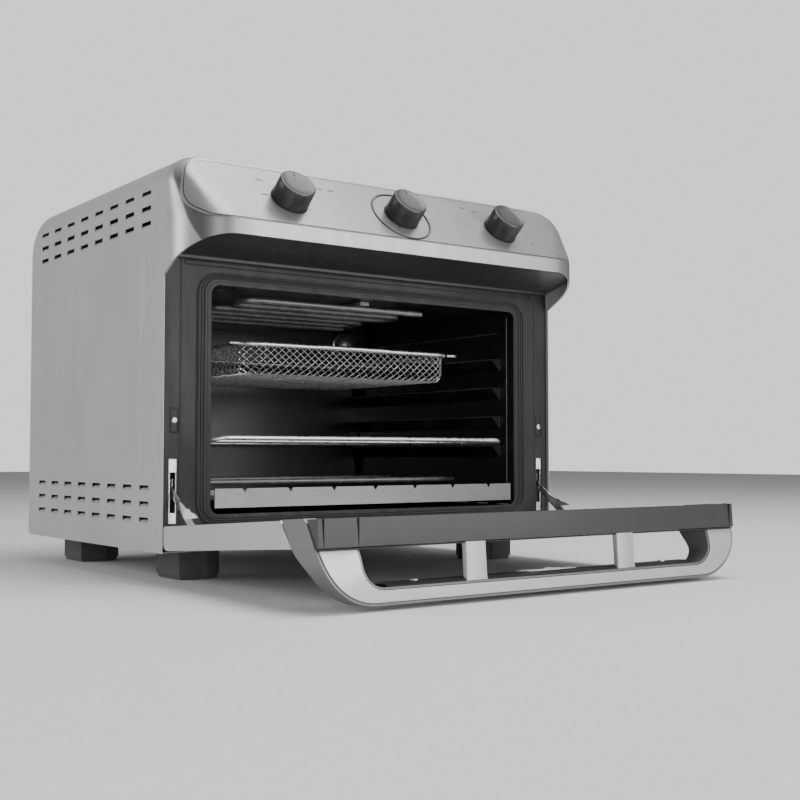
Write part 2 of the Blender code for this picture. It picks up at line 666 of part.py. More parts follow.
def build_controls(base, normal):
    """The inlaid plate, the ring round the middle knob, the knobs and what they turn."""
    lift = surface_lift(base, normal)
    plate = prism("control_plate", round_rect(-0.222, 0.222, -0.0377, 0.0445, 0.026), lift + GAP,
                  lift + GAP + 0.0008, "Z", PLATE_GREY)
    plate.matrix_local = slant_frame(base, normal, 0.0, 0.0)
    holes = []
    for i, x in enumerate((-KNOB_SPACING, 0.0, KNOB_SPACING)):
        middle = base + Vector((x, 0.0, 0.0))
        holes.append(rod(f"plate_hole_{i}", middle - normal * 0.02, middle + normal * 0.02, 0.0045, sides=16))
    cut(plate, *holes)
    face = lift + GAP + 0.0008
    raised = [(0.0366, 0.0020), (0.0375, 0.0012), (0.0375, GAP), (0.0347, GAP), (0.0347, 0.0016),
              (0.0352, 0.0020), (0.0366, 0.0020)]
    turned("selector_ring", raised, slant_frame(base, normal, 0.0, face), PLATE_GREY)
    bodies = (("thermostat", -KNOB_SPACING), ("selector", 0.0), ("timer", KNOB_SPACING))
    for name, x in bodies:
        knob_low = face + 0.0012
        knob_top = knob_low + KNOB_HEIGHT
        turned(f"{name}_knob",
               [(0.0, knob_top), (KNOB_RADIUS - 0.0015, knob_top), (KNOB_RADIUS, knob_top - 0.0012),
                (KNOB_RADIUS + 0.0005, knob_low), (0.0035, knob_low), (0.0035, knob_low + 0.014),
                (0.0, knob_low + 0.014)],
               slant_frame(base, normal, x, 0.0), KNOB)
        turned(f"{name}_shaft", [(0.0, knob_low + 0.0135), (SHAFT_RADIUS, knob_low + 0.0135),
                                 (SHAFT_RADIUS, -0.0150), (0.0, -0.0150)],
               slant_frame(base, normal, x, 0.0), STEEL, steps=12)
        outline = round_rect(-0.018, 0.018, -0.016, 0.016, 0.003, 2)
        body = prism(f"{name}_body", outline, -0.0400, -0.0155, "Z", BLACK)
        body.matrix_local = slant_frame(base, normal, x, 0.0)
    outline = round_rect(-0.195, 0.195, -0.020, 0.022, 0.004, 2)
    bracket = prism("control_bracket", outline, -0.0152, -0.0140, "Z", STEEL)
    bracket.matrix_local = slant_frame(base, normal, 0.0, 0.0)
    through = []
    for i, x in enumerate((-KNOB_SPACING, 0.0, KNOB_SPACING)):
        middle = base + Vector((x, 0.0, 0.0))
        through.append(rod(f"bracket_hole_{i}", middle - normal * 0.03, middle, 0.0045, sides=16))
    cut(bracket, *through)


def surface_lift(base, normal):
    """How far the slanted surface lies from the knob base along the normal."""
    point = Vector((0.0, -FASCIA_REACH - GAP, LIP_TOP))
    return (point - base).dot(normal)


def build_soffit():
    """The dark panel that closes the fascia from below."""
    def outline(z, inset):
        return [(x * (1 - inset / HALF), min(y + inset, -0.0012)) for x, y in plan_path(z)]

    under = 0.3035
    front = 0.3180

    def build(bm):
        slope = (front - under) / (FASCIA_REACH - 0.005)
        rim = outline(LIP_TOP, SKIN + 0.0012)
        face = bm.faces.new([bm.verts.new((x, y, under - slope * (y + 0.0012))) for x, y in rim])
        pushed = bmesh.ops.extrude_face_region(bm, geom=[face])
        moved = [v for v in pushed["geom"] if isinstance(v, bmesh.types.BMVert)]
        bmesh.ops.translate(bm, vec=(0.0, 0.0, 0.0015), verts=moved)
        bmesh.ops.remove_doubles(bm, verts=bm.verts, dist=0.00001)

    link("soffit_panel", mesh_from("soffit_panel", build), DARK_GREY, ROOT)


# ---- door, modelled shut about its hinge axis ----
def door_y(w):
    """Depth in the door, from its inner face outwards, as a coordinate about the axis."""
    return AXIS_FROM_INNER - w


def door_z(s):
    """Height up the door as a coordinate about the axis."""
    return s - AXIS_FROM_END


def door_box(name, x0, x1, s0, s1, w0, w1, finish=None):
    """A block in the door, by its height and depth in the door."""
    low, high = sorted((x0, x1))
    return box(name, (low, door_y(w1), door_z(s0)), (high, door_y(w0), door_z(s1)), finish, DOOR)


def arm_profile(extra, steps=5):
    """The handle seen from the side, as (depth, height) points: it sweeps up and away from the door."""
    front = [(-0.004, 0.2643), (0.0285, 0.2822), (0.0310, 0.2838), (0.080, 0.2838)]
    rear = [(0.080, 0.2610), (0.056, 0.2590)]
    for i in range(steps + 1):
        t = i / steps
        rear.append((0.056 - 0.060 * t, 0.2590 - 0.0330 * t ** 1.5))
    points = [(w, s + extra) for w, s in front] + [(w, s - extra) for w, s in rear]
    return [(door_y(w), door_z(s)) for w, s in points]


def loop_outline(outer, inner_side, bar_top, root, bottom, radius, inner_radius, steps=6):
    """The C of the handle seen from above the door, as (x, depth) points, open towards the door."""
    points = [(outer, root)]
    for i in range(steps + 1):
        a = math.radians(90 * i / steps)
        points.append((outer - radius * (1 - math.cos(a)), bottom - radius * (1 - math.sin(a))))
    inner = [(inner_side, root)]
    for i in range(steps + 1):
        a = math.radians(90 * i / steps)
        inner.append((inner_side - inner_radius * (1 - math.cos(a)),
                      bar_top - inner_radius * (1 - math.sin(a))))
    return points, inner


def mirrored(points, inner):
    """A closed C outline from its right half."""
    left = [(-x, w) for x, w in reversed(points)]
    left_in = [(-x, w) for x, w in inner]
    return points + left + left_in + inner[::-1]


def build_handle():
    """The C-shaped handle: body, cover plate and the two posts between bar and door."""
    outer, inner = loop_outline(DOOR_HALF, 0.2185, 0.0595, DOOR_THICK + GAP, 0.0755, 0.050, 0.021)
    root = [(DOOR_HALF, -0.002), *outer[1:]]
    inside = [(0.2500, -0.002), (0.2500, DOOR_THICK + GAP), *inner[0:]]
    outline = [(x, door_y(w)) for x, w in mirrored(root, inside)]
    body = prism("handle_body", outline, door_z(0.220), door_z(0.300), "Z", LIGHT_GREY, DOOR)
    side = prism("handle_side", arm_profile(0.0), -0.30, 0.30, "X", None, DOOR)
    combine(body, side, "INTERSECT")
    cut(body, door_box("inner_face_trim", -0.3, 0.3, 0.1, 0.4, -0.05, 0.0))

    inset = 0.0022
    trim_outer, trim_inner = loop_outline(DOOR_HALF - inset, 0.2185 + inset, 0.0610, 0.0290, 0.0755 - inset,
                                          0.0435, 0.0225)
    cover_line = [(x, door_y(w)) for x, w in mirrored(trim_outer, trim_inner)]
    prism("handle_cover", cover_line, door_z(0.2838 + GAP), door_z(0.2857), "Z", LIGHT_GREY, DOOR)

    for side_sign, word in ((-1, "left"), (1, "right")):
        x = side_sign * 0.0955
        door_box(f"handle_post_{word}", x - 0.01175, x + 0.01175, 0.2740, 0.2830, DOOR_THICK + GAP, 0.0592,
                 LIGHT_GREY)


def build_door():
    """The door frame, its two panes and the dark profile along its upper edge."""
    profile = [(0.0, DOOR_TOP), (DOOR_THICK, DOOR_TOP)]
    for radius, w, start in ((0.008, DOOR_THICK - 0.008, 0), (0.005, 0.005, 90)):
        for i in range(5):
            a = math.radians(start + 90 * i / 4)
            profile.append((w + radius * math.cos(a), DOOR_END + radius * (1 - math.sin(a))))
    outline = [(door_y(w), door_z(s)) for w, s in profile]
    frame = prism("door_frame", outline, -DOOR_HALF, DOOR_HALF, "X", LIGHT_GREY, DOOR)
    cutters = [door_box("door_window", -0.205, 0.205, 0.030, 0.240, -0.05, 0.05),
               door_box("inner_rebate", -0.2322, 0.2322, 0.0137, 0.2563, -0.01, 0.0055),
               door_box("outer_rebate", -0.2440, 0.2440, 0.0070, 0.2580, 0.0190, 0.05),
               door_box("body_cavity", -0.2255, 0.2255, 0.0185, 0.2515, 0.0050, 0.0200)]
    seat = ((-0.01, 0.2195), (0.0, 0.2260), (0.02430, 0.2435), (0.05, 0.2600), (0.05, 0.31), (-0.01, 0.31))
    corner = [(door_y(w), door_z(s)) for w, s in seat]
    for side in (-1, 1):
        low, high = sorted((side * 0.2497, side * 0.30))
        cutters.append(prism(f"arm_seat_{side}", corner, low, high, "X", None, DOOR))
        low, high = side * 0.2468, side * 0.2542
        cutters.append(door_box("arm_pocket", low, high, 0.026, 0.058, -0.01, 0.0212))
        low, high = side * 0.2442, side * 0.2502
        cutters.append(door_box("bracket_pocket", low, high, -0.02, 0.0150, -0.01, 0.0205))
    rod_x = [(side * 0.2400, side * 0.2560) for side in (-1, 1)]
    for start, end in rod_x:
        cutters.append(rod("hinge_bore", (start, 0.0, 0.0), (end, 0.0, 0.0), 0.00225, None, DOOR, 12))
        y, z = arm_pivot_in_door()
        cutters.append(rod("arm_bore", (start, y, z), (end, y, z), 0.00175, None, DOOR, 12))
    cut(frame, *cutters)

    door_box("door_inner_glass", -0.2320, 0.2320, 0.0140, 0.2560, 0.0010, 0.0047, GLASS)
    door_box("door_outer_glass", -0.2437, 0.2437, 0.0073, 0.2577, 0.0203, DOOR_THICK - 0.0003, GLASS)
    trim = door_box("door_top_trim", -0.2615, 0.2615, DOOR_TOP + GAP, TRIM_TOP, 0.0, DOOR_THICK, TRIM_GREY)
    seat = prism("trim_seat", arm_profile(GAP * 1.5), 0.2497, 0.30, "X", None, DOOR)
    seat_left = prism("trim_seat_left", arm_profile(GAP * 1.5), -0.30, -0.2497, "X", None, DOOR)
    cut(trim, seat, seat_left)


# ---- hinges ----
def arm_pivot_in_door():
    """The arm's pivot about the door's axis, with the door shut."""
    a = math.radians(ARM_PIVOT_ANGLE)
    return -ARM_RADIUS * math.sin(a), ARM_RADIUS * math.cos(a)


def build_hinges():
    """A slotted arm, a bracket and the pins at each side, and the zinc plate behind each slot."""
    turn = math.radians(DOOR_OPEN)
    y, z = arm_pivot_in_door()
    pivot_y = AXIS_Y + y * math.cos(turn) - z * math.sin(turn)
    pivot_z = AXIS_Z + y * math.sin(turn) + z * math.cos(turn)
    for side, word in ((-1, "left"), (1, "right")):
        axis = empty(f"arm_axis_{word}", (side * ARM_X, pivot_y, pivot_z), math.radians(ARM_ELEVATION), ROOT)
        low, high = -0.0008, 0.0008
        outline = [(-0.0045, -0.0035), (-0.0045, 0.0035), (-0.002, 0.0048), (ARM_LENGTH - 0.004, 0.0036),
                   (ARM_LENGTH, 0.0010), (ARM_LENGTH, -0.0036), (-0.002, -0.0048)]
        arm = prism(f"hinge_arm_{word}", outline, low, high, "X", STEEL, axis)
        cut(arm, rod("arm_pin_hole", (-0.01, 0.0, 0.0), (0.01, 0.0, 0.0), 0.00175, None, axis, 12))
        start, end = sorted((side * 0.2445, side * 0.2555))
        rod(f"arm_pin_{word}", (start, y, z), (end, y, z), 0.0015, STEEL, DOOR, 12)
        rod(f"hinge_pin_{word}", (start, 0.0, 0.0), (end, 0.0, 0.0), 0.0020, STEEL, DOOR, 12)
        bracket_line = [(AXIS_Y - 0.005, AXIS_Z - 0.003), (AXIS_Y - 0.005, AXIS_Z + 0.003),
                        (AXIS_Y - 0.002, AXIS_Z + 0.0055), (0.0500, AXIS_Z + 0.0055), (0.0500, 0.0020),
                        (0.0120, 0.0020), (0.0, AXIS_Z - 0.0055), (AXIS_Y - 0.002, AXIS_Z - 0.0055)]
        low, high = sorted((side * (BRACKET_X - 0.0010), side * (BRACKET_X + 0.0010)))
        bracket = prism(f"hinge_bracket_{word}", bracket_line, low, high, "X", STEEL)
        cut(bracket, rod("bracket_bore", (low - 0.01, AXIS_Y, AXIS_Z), (high + 0.01, AXIS_Y, AXIS_Z), 0.00225,
                         None, ROOT, 12))
        plate = box(f"hinge_plate_{word}", (side * ARM_X - 0.0100, FRAME_Y + 0.0018, 0.0285),
                    (side * ARM_X + 0.0100, FRAME_Y + 0.0033, 0.1050), STEEL)
        cut(plate, box("plate_slot", (side * ARM_X - 0.0030, FRAME_Y - 0.01, 0.0400),
                       (side * ARM_X + 0.0030, FRAME_Y + 0.01, 0.0880)))


build_cabinet()
build_panels()
build_feet()
build_front_frame()
build_seal()
build_cavity()
build_heaters()
build_lamp()
build_fan()
build_tray()
build_rack()
build_basket()
KNOB_CENTRE, KNOB_NORMAL = build_fascia()
build_controls(KNOB_CENTRE, KNOB_NORMAL)
build_soffit()
build_door()
build_handle()
build_hinges()
bpy.context.view_layer.update()
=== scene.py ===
"""Counter-top convection oven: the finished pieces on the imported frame."""
import json
import math

import bmesh
import bpy
from mathutils import Matrix, Vector

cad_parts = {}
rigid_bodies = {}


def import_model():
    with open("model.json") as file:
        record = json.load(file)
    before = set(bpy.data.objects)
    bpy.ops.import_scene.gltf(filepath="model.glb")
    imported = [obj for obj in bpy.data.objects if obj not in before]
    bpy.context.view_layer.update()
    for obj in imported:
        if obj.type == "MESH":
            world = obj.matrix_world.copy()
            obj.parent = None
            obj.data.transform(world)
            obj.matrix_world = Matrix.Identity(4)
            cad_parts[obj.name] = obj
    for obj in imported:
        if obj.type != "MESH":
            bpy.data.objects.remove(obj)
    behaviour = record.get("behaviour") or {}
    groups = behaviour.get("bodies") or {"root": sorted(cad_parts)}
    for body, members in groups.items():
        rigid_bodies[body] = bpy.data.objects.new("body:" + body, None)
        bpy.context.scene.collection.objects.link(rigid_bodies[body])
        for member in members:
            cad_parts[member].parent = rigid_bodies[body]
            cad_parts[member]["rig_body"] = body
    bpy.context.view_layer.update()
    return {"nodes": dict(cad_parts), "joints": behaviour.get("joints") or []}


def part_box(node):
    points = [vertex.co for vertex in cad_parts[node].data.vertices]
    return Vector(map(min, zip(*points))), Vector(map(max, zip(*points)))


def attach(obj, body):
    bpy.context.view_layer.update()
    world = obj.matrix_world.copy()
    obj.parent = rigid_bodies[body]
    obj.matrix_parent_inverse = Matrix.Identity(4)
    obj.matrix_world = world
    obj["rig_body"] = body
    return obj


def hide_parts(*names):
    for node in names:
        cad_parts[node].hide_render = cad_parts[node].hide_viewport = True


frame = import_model()
NODES = frame["nodes"]
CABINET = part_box("outer_cabinet")
Y0 = CABINET[0].y
Z0 = CABINET[0].z
HALF = CABINET[1].x
DEPTH = CABINET[1].y - Y0
TOP = CABINET[1].z - Z0
DOOR_JOINT = next(j for j in frame["joints"] if j["name"] == "door_hinge")
AXIS = Vector(DOOR_JOINT["pos_m"])
DOOR_OPEN = math.radians(86.02)
FACE_BEFORE_AXIS, EDGE_UNDER_AXIS = 0.00979, 0.00552
DOOR_BODY = "door"
OVEN = "oven"


def at(x, y, z):
    """A point of the row frame from a point of the cabinet: front edge and lower edge are zero."""
    return Vector((x, Y0 + y, Z0 + z))


def in_door(x, w, s):
    """A point of the row frame from a point of the door: w is the depth outwards, s the height when shut."""
    y, z = FACE_BEFORE_AXIS - w, s - EDGE_UNDER_AXIS
    c, n = math.cos(DOOR_OPEN), math.sin(DOOR_OPEN)
    return Vector((x, AXIS.y + y * c - z * n, AXIS.z + y * n + z * c))


# ---- materials ----
class Shader:
    """A Principled material and short calls that add texture nodes to it."""

    def __init__(self, name, roughness, metallic=0.0, coat=0.0, ior=1.5, coat_roughness=0.1):
        self.material = bpy.data.materials.new(name)
        self.material.use_nodes = True
        self.tree = self.material.node_tree
        self.bsdf = self.tree.nodes["Principled BSDF"]
        self.feed(self.bsdf, (("Roughness", roughness), ("Metallic", metallic), ("Coat Weight", coat),
                              ("Coat Roughness", coat_roughness), ("IOR", ior)))
        self.coords = self.tree.nodes.new("ShaderNodeTexCoord")
        self.normal = None

    def node(self, kind, **values):
        made = self.tree.nodes.new(kind)
        for key, value in values.items():
            setattr(made, key, value)
        return made

    def wire(self, source, target):
        self.tree.links.new(source, target)

    def feed(self, made, inputs):
        """Gives each input its number or colour, or wires a socket to it."""
        for key, value in inputs:
            if isinstance(value, (int, float)):
                made.inputs[key].default_value = value
            elif isinstance(value, tuple):
                made.inputs[key].default_value = (*value, 1.0)
            else:
                self.wire(value, made.inputs[key])

    def place(self, stretch=(1.0, 1.0, 1.0)):
        mapping = self.node("ShaderNodeMapping")
        mapping.inputs["Scale"].default_value = stretch
        self.wire(self.coords.outputs["Object"], mapping.inputs["Vector"])
        return mapping.outputs["Vector"]

    def noise(self, scale, detail=3.0, stretch=(1.0, 1.0, 1.0), rough=0.5):
        made = self.node("ShaderNodeTexNoise")
        self.feed(made, (("Scale", scale), ("Detail", detail), ("Roughness", rough), ("Vector", self.place(stretch))))
        return made.outputs["Fac"]

    def ramp(self, source, stops):
        made = self.node("ShaderNodeValToRGB")
        band = made.color_ramp
        while len(band.elements) < len(stops):
            band.elements.new(0.5)
        for element, (position, colour) in zip(band.elements, stops):
            element.position = position
            element.color = (*colour, 1.0)
        self.wire(source, made.inputs["Fac"])
        return made.outputs["Color"]

    def spread(self, source, low, high, start=0.3, end=0.7):
        made = self.node("ShaderNodeMapRange")
        self.feed(made, (("From Min", start), ("From Max", end), ("To Min", low), ("To Max", high),
                         ("Value", source)))
        return made.outputs["Result"]

    def mix(self, factor, a, b, mode="MIX"):
        made = self.node("ShaderNodeMix", data_type="RGBA", blend_type=mode)
        self.feed(made, ((0, factor), (6, a), (7, b)))
        return made.outputs[2]

    def math(self, operation, a, b=0.0):
        made = self.node("ShaderNodeMath", operation=operation)
        self.feed(made, ((0, a), (1, b)))
        return made.outputs[0]

    def bump(self, source, strength, distance):
        made = self.node("ShaderNodeBump")
        self.feed(made, (("Strength", strength), ("Distance", distance), ("Height", source)))
        if self.normal is not None:
            self.wire(self.normal, made.inputs["Normal"])
        self.normal = made.outputs["Normal"]

    def done(self, colour=None, roughness=None, metallic=None):
        for name, source in (("Base Color", colour), ("Roughness", roughness), ("Metallic", metallic)):
            if source is not None:
                self.wire(source, self.bsdf.inputs[name])
        if self.normal is not None:
            self.wire(self.normal, self.bsdf.inputs["Normal"])
        return self.material


def grey(value, tint=0.0):
    """A near-neutral colour, slightly cool or warm."""
    return (value * (1 - tint), value, value * (1 + tint))


def painted(name, value, roughness, metallic=0.0, grain=900.0, depth=0.00004, mottle=0.05, coat=0.0, tint=0.01):
    """Sprayed paint or moulded plastic: fine grain, slight clouding of tone and gloss, faint rub marks."""
    s = Shader(name, roughness, metallic, coat)
    cloud = s.noise(9.0, 4.0)
    tone = s.ramp(cloud, [(0.3, grey(value * (1 - mottle), tint)), (0.7, grey(value * (1 + mottle), tint))])
    fleck = s.noise(grain * 2.2, 2.0)
    tone = s.mix(0.10, tone, s.ramp(fleck, [(0.35, grey(value * 0.7)), (0.65, grey(min(1.0, value * 1.35)))]))
    rub = s.noise(60.0, 5.0, (1.0, 1.0, 0.25), 0.65)
    gloss = s.spread(rub, roughness * 0.85, roughness * 1.18)
    s.bump(s.noise(grain, 2.0), 0.35, depth)
    return s.done(tone, gloss)


def shaded_fascia_paint(name, value, roughness, metallic, coat):
    """The fascia's paint: silver grey, with painted shade as a darker band round each front corner."""
    s = Shader(name, roughness, metallic, coat)
    parts = s.node("ShaderNodeSeparateXYZ")
    s.wire(s.coords.outputs["Object"], parts.inputs["Vector"])
    # Painted shade: this mask darkens the paint towards each front corner, on the front below the side crease and
    # below the top; dark is the shade tone.
    across = s.spread(s.math("ABSOLUTE", parts.outputs["X"]), 0.0, 1.0, 0.196, 0.250)
    drop = s.math("MULTIPLY", s.math("SUBTRACT", 0.411, parts.outputs["Z"]), 0.54)
    crease = s.math("ADD", parts.outputs["Y"], drop)
    front = s.spread(crease, 1.0, 0.0, -0.0640, -0.0615)
    top = s.spread(parts.outputs["Z"], 1.0, 0.0, 0.405, 0.428)
    cloud = s.noise(9.0, 4.0)
    tone = s.ramp(cloud, [(0.3, grey(value * 0.97, 0.01)), (0.7, grey(value * 1.03, 0.01))])
    dark = s.ramp(cloud, [(0.3, grey(value * 0.19, 0.01)), (0.7, grey(value * 0.22, 0.01))])
    tone = s.mix(s.math("MULTIPLY", s.math("MULTIPLY", across, front), top), tone, dark)
    fleck = s.noise(2000.0, 2.0)
    tone = s.mix(0.08, tone, s.ramp(fleck, [(0.35, grey(value * 0.5)), (0.65, grey(value))]))
    s.bump(s.noise(900.0, 2.0), 0.35, 0.00004)
    return s.done(tone, s.spread(s.noise(60.0, 5.0, (1.0, 1.0, 0.25)), roughness * 0.85, roughness * 1.18))


def zinc(name, value, roughness):
    """Galvanised sheet: crystal spangle and faint rolling lines."""
    s = Shader(name, roughness, 1.0)
    cells = s.node("ShaderNodeTexVoronoi")
    cells.inputs["Scale"].default_value = 140.0
    s.wire(s.place(), cells.inputs["Vector"])
    split = s.node("ShaderNodeSeparateColor")
    s.wire(cells.outputs["Color"], split.inputs["Color"])
    tone = s.ramp(split.outputs[0], [(0.0, grey(value * 0.82)), (1.0, grey(value * 1.1))])
    lines = s.noise(500.0, 2.0, (1.0, 0.05, 0.05))
    gloss = s.spread(split.outputs[1], roughness * 0.75, roughness * 1.3, 0.0, 1.0)
    s.bump(lines, 0.2, 0.00003)
    return s.done(tone, gloss)


def brushed(name, value, roughness, stretch=(0.02, 1.0, 1.0), metallic=1.0):
    """Brushed or drawn metal with grain along one axis."""
    s = Shader(name, roughness, metallic)
    lines = s.noise(1600.0, 3.0, stretch)
    cloud = s.noise(14.0, 3.0)
    tone = s.mix(0.5, s.ramp(lines, [(0.3, grey(value * 0.8)), (0.7, grey(min(1.0, value * 1.15)))]),
                 s.ramp(cloud, [(0.3, grey(value * 0.92)), (0.7, grey(value * 1.05))]))
    s.bump(lines, 0.25, 0.00004)
    return s.done(tone, s.spread(cloud, roughness * 0.8, roughness * 1.25))


def plated(name, value, roughness):
    """Bright plated wire: almost mirror, with faint waviness and darker handling marks."""
    s = Shader(name, roughness, 0.88)
    marks = s.noise(120.0, 4.0)
    tone = s.ramp(marks, [(0.25, grey(value * 0.86)), (0.6, grey(value))])
    s.bump(s.noise(90.0, 1.0), 0.10, 0.00002)
    return s.done(tone, s.spread(marks, roughness * 0.7, roughness * 1.8))


def enamel(name, value, roughness):
    """Black non-stick coating: orange peel, tiny flecks and soft wear."""
    s = Shader(name, roughness, 0.0, 0.15, 1.5, 0.25)
    fleck = s.noise(2600.0, 1.0)
    tone = s.mix(s.spread(fleck, 0.0, 1.0, 0.66, 0.74), grey(value), grey(value * 3.2))
    haze = s.noise(7.0, 5.0)
    s.bump(s.noise(700.0, 2.0), 0.3, 0.00006)
    return s.done(tone, s.spread(haze, roughness * 0.8, roughness * 1.3))


def sheath(name):
    """Heater tube: dark oxide with a lighter dusty side."""
    s = Shader(name, 0.42, 0.7)
    dust = s.noise(90.0, 5.0)
    tone = s.ramp(dust, [(0.25, grey(0.13, -0.02)), (0.75, grey(0.30, -0.03))])
    s.bump(s.noise(900.0, 3.0), 0.3, 0.00005)
    return s.done(tone, s.spread(dust, 0.3, 0.6))


def rubbery(name, value, roughness):
    """Rubber or silicone: dull, softly uneven, dusty on the high spots."""
    s = Shader(name, roughness)
    dust = s.noise(160.0, 5.0)
    tone = s.ramp(dust, [(0.3, grey(value * 0.8)), (0.75, grey(value * 1.5))])
    s.bump(s.noise(1500.0, 2.0), 0.4, 0.00005)
    return s.done(tone, s.spread(dust, roughness * 0.9, min(1.0, roughness * 1.15)))


def pane(name, value, roughness, tint=0.0):
    """Tempered glass with the faintest waviness and smears."""
    s = Shader(name, roughness, 0.0, 0.0, 1.5)
    s.bsdf.inputs["Transmission Weight"].default_value = 0.9
    smear = s.noise(22.0, 5.0, (1.0, 0.4, 1.0))
    tone = s.ramp(smear, [(0.3, grey(value, tint)), (0.7, grey(value * 1.06, tint))])
    s.bump(s.noise(30.0, 1.0), 0.05, 0.0002)
    return s.done(tone, s.spread(smear, roughness * 0.6, roughness * 1.8))


LIGHT = painted("light_grey_paint", 0.48, 0.36, 0.45, mottle=0.03, coat=0.1)
FASCIA = shaded_fascia_paint("fascia_grey_corner_shade", 0.47, 0.36, 0.45, 0.1)
# Painted shade: a darker copy of the light grey paint, for the handle's curved sides that lie in shade.
SHELL = painted("handle_shell_shaded_grey", 0.17, 0.38, 0.4, mottle=0.03, coat=0.1)
PANEL = painted("side_panel_paint", 0.40, 0.42, 0.05, grain=1200.0, coat=0.06)
PLATE = painted("plate_grey", 0.29, 0.33, 0.5, grain=1800.0, depth=0.00002, mottle=0.03, coat=0.15)
COVER = painted("handle_cover_grey", 0.50, 0.33, 0.45, grain=1800.0, depth=0.00002, mottle=0.03, coat=0.15)
DARK = painted("dark_grey_paint", 0.010, 0.58, 0.0, grain=1000.0, coat=0.1)
TRIM = painted("door_trim_grey", 0.034, 0.38, 0.1, grain=1600.0, depth=0.00002, coat=0.1)
BLACK = painted("black_plastic", 0.018, 0.5, 0.0, grain=900.0)
KNOB_SIDE = painted("knob_side_grey", 0.050, 0.33, 0.5, grain=2000.0, depth=0.00002, mottle=0.03)
KNOB_FACE = brushed("knob_face_grey", 0.085, 0.34, (1.0, 0.05, 1.0), 0.6)
ZINC = zinc("galvanised_steel", 0.62, 0.33)
BRIGHT = zinc("bright_zinc", 0.95, 0.45)
TRAY = brushed("tray_aluminium", 0.23, 0.36)
SOFFIT = painted("soffit_dark_grey", 0.030, 0.45, 0.0, grain=1000.0, coat=0.1)
FLANGE = painted("flange_grey", 0.020, 0.48, 0.3, grain=1400.0, depth=0.00002)
CHROME = plated("chrome_wire", 0.95, 0.30)
MESH = plated("basket_chrome", 0.90, 0.28)
# Painted shade: a dark copy of the basket chrome for the strands at the rear and the far side.
MESH_SHADE = plated("basket_chrome_painted_shade", 0.06, 0.5)
ENAMEL = enamel("cavity_enamel", 0.010, 0.30)
HEATER = sheath("heater_sheath")
SEAL = rubbery("seal_rubber", 0.022, 0.62)
FOOT = rubbery("foot_rubber", 0.05, 0.6)
GLASS = pane("door_glass", 0.35, 0.04)
LAMP = pane("lamp_glass", 0.95, 0.05)
PRINT = painted("dial_print", 0.06, 0.5, 0.0, grain=3000.0)
SLOTS = {"light_grey_paint": (LIGHT, FASCIA, SHELL, PANEL), "dark_grey_paint": (DARK, SOFFIT, FLANGE),
         "plate_grey": (PLATE, COVER), "door_trim_grey": (TRIM,), "black_plastic": (BLACK, PRINT),
         "knob_grey": (KNOB_SIDE, KNOB_FACE), "galvanised_steel": (ZINC, BRIGHT), "tray_aluminium": (TRAY,),
         "chrome_wire": (CHROME, MESH, MESH_SHADE), "cavity_enamel": (ENAMEL,), "heater_sheath": (HEATER,),
         "seal_rubber": (SEAL,), "foot_rubber": (FOOT,), "door_glass": (GLASS,), "lamp_glass": (LAMP,)}
SLOT_OF = {material: slot for slot, group in SLOTS.items() for material in group}


# ---- mesh helpers ----
def linked(name, mesh):
    made = bpy.data.objects.new(name, mesh)
    bpy.context.scene.collection.objects.link(made)
    return made


def mesh_of(name, verts, faces):
    mesh = bpy.data.meshes.new(name)
    mesh.from_pydata([tuple(v) for v in verts], [], faces)
    bm = bmesh.new()
    bm.from_mesh(mesh)
    bmesh.ops.remove_doubles(bm, verts=bm.verts, dist=0.000002)
    bmesh.ops.recalc_face_normals(bm, faces=bm.faces)
    bm.to_mesh(mesh)
    bm.free()
    return mesh


def piece(name, verts, faces):
    return linked(name, mesh_of(name, verts, faces))


def bake(obj):
    """Replaces the object's mesh with what its modifiers make of it."""
    bpy.context.view_layer.update()
    graph = bpy.context.evaluated_depsgraph_get()
    mesh = bpy.data.meshes.new_from_object(obj.evaluated_get(graph))
    old = obj.data
    obj.modifiers.clear()
    obj.data = mesh
    bpy.data.meshes.remove(old)


def thicken(obj, thickness, offset=-1.0):
    """Gives a sheet its thickness, on the inside unless the offset says otherwise."""
    sheet = obj.modifiers.new("sheet", "SOLIDIFY")
    sheet.thickness = thickness
    sheet.offset = offset
    bake(obj)
    return obj


def lattice(rows, width, wrap=False):
    """The faces of a grid of points in rows, closed round each row if wrap is set."""
    return [(j * width + i, j * width + (i + 1) % width, (j + 1) * width + (i + 1) % width, (j + 1) * width + i)
            for j in range(rows - 1) for i in range(width if wrap else width - 1)]


def finish(obj, material, body, nodes=(), bevel=0.0, angle=35.0, segments=2):
    """Softens the edges, smooths what is round, paints the piece and puts it on its body."""
    if bevel:
        step = obj.modifiers.new("edge", "BEVEL")
        step.width = bevel
        step.segments = segments
        step.limit_method = "ANGLE"
        step.angle_limit = math.radians(angle)
        step.use_clamp_overlap = True
        bake(obj)
    obj.data.shade_smooth()
    obj.data.set_sharp_from_angle(angle=math.radians(angle))
    if bevel:
        weigh = obj.modifiers.new("weigh", "WEIGHTED_NORMAL")
        weigh.keep_sharp = True
        weigh.weight = 80
        bake(obj)
    obj.data.materials.clear()
    obj.data.materials.append(material)
    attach(obj, body)
    if nodes:
        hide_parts(*nodes)
    return obj


def refined(node, name, material, bevel, angle=30.0, dissolve=2.0):
    """A copy of a CAD solid with welded faces and softened edges, which stands for it."""
    mesh = NODES[node].data.copy()
    bm = bmesh.new()
    bm.from_mesh(mesh)
    bmesh.ops.remove_doubles(bm, verts=bm.verts, dist=0.000005)
    bmesh.ops.dissolve_limit(bm, angle_limit=math.radians(dissolve), verts=bm.verts, edges=bm.edges,
                             delimit={"NORMAL"})
    bm.to_mesh(mesh)
    bm.free()
    return finish(linked(name, mesh), material, NODES[node]["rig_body"], (node,), bevel, angle)


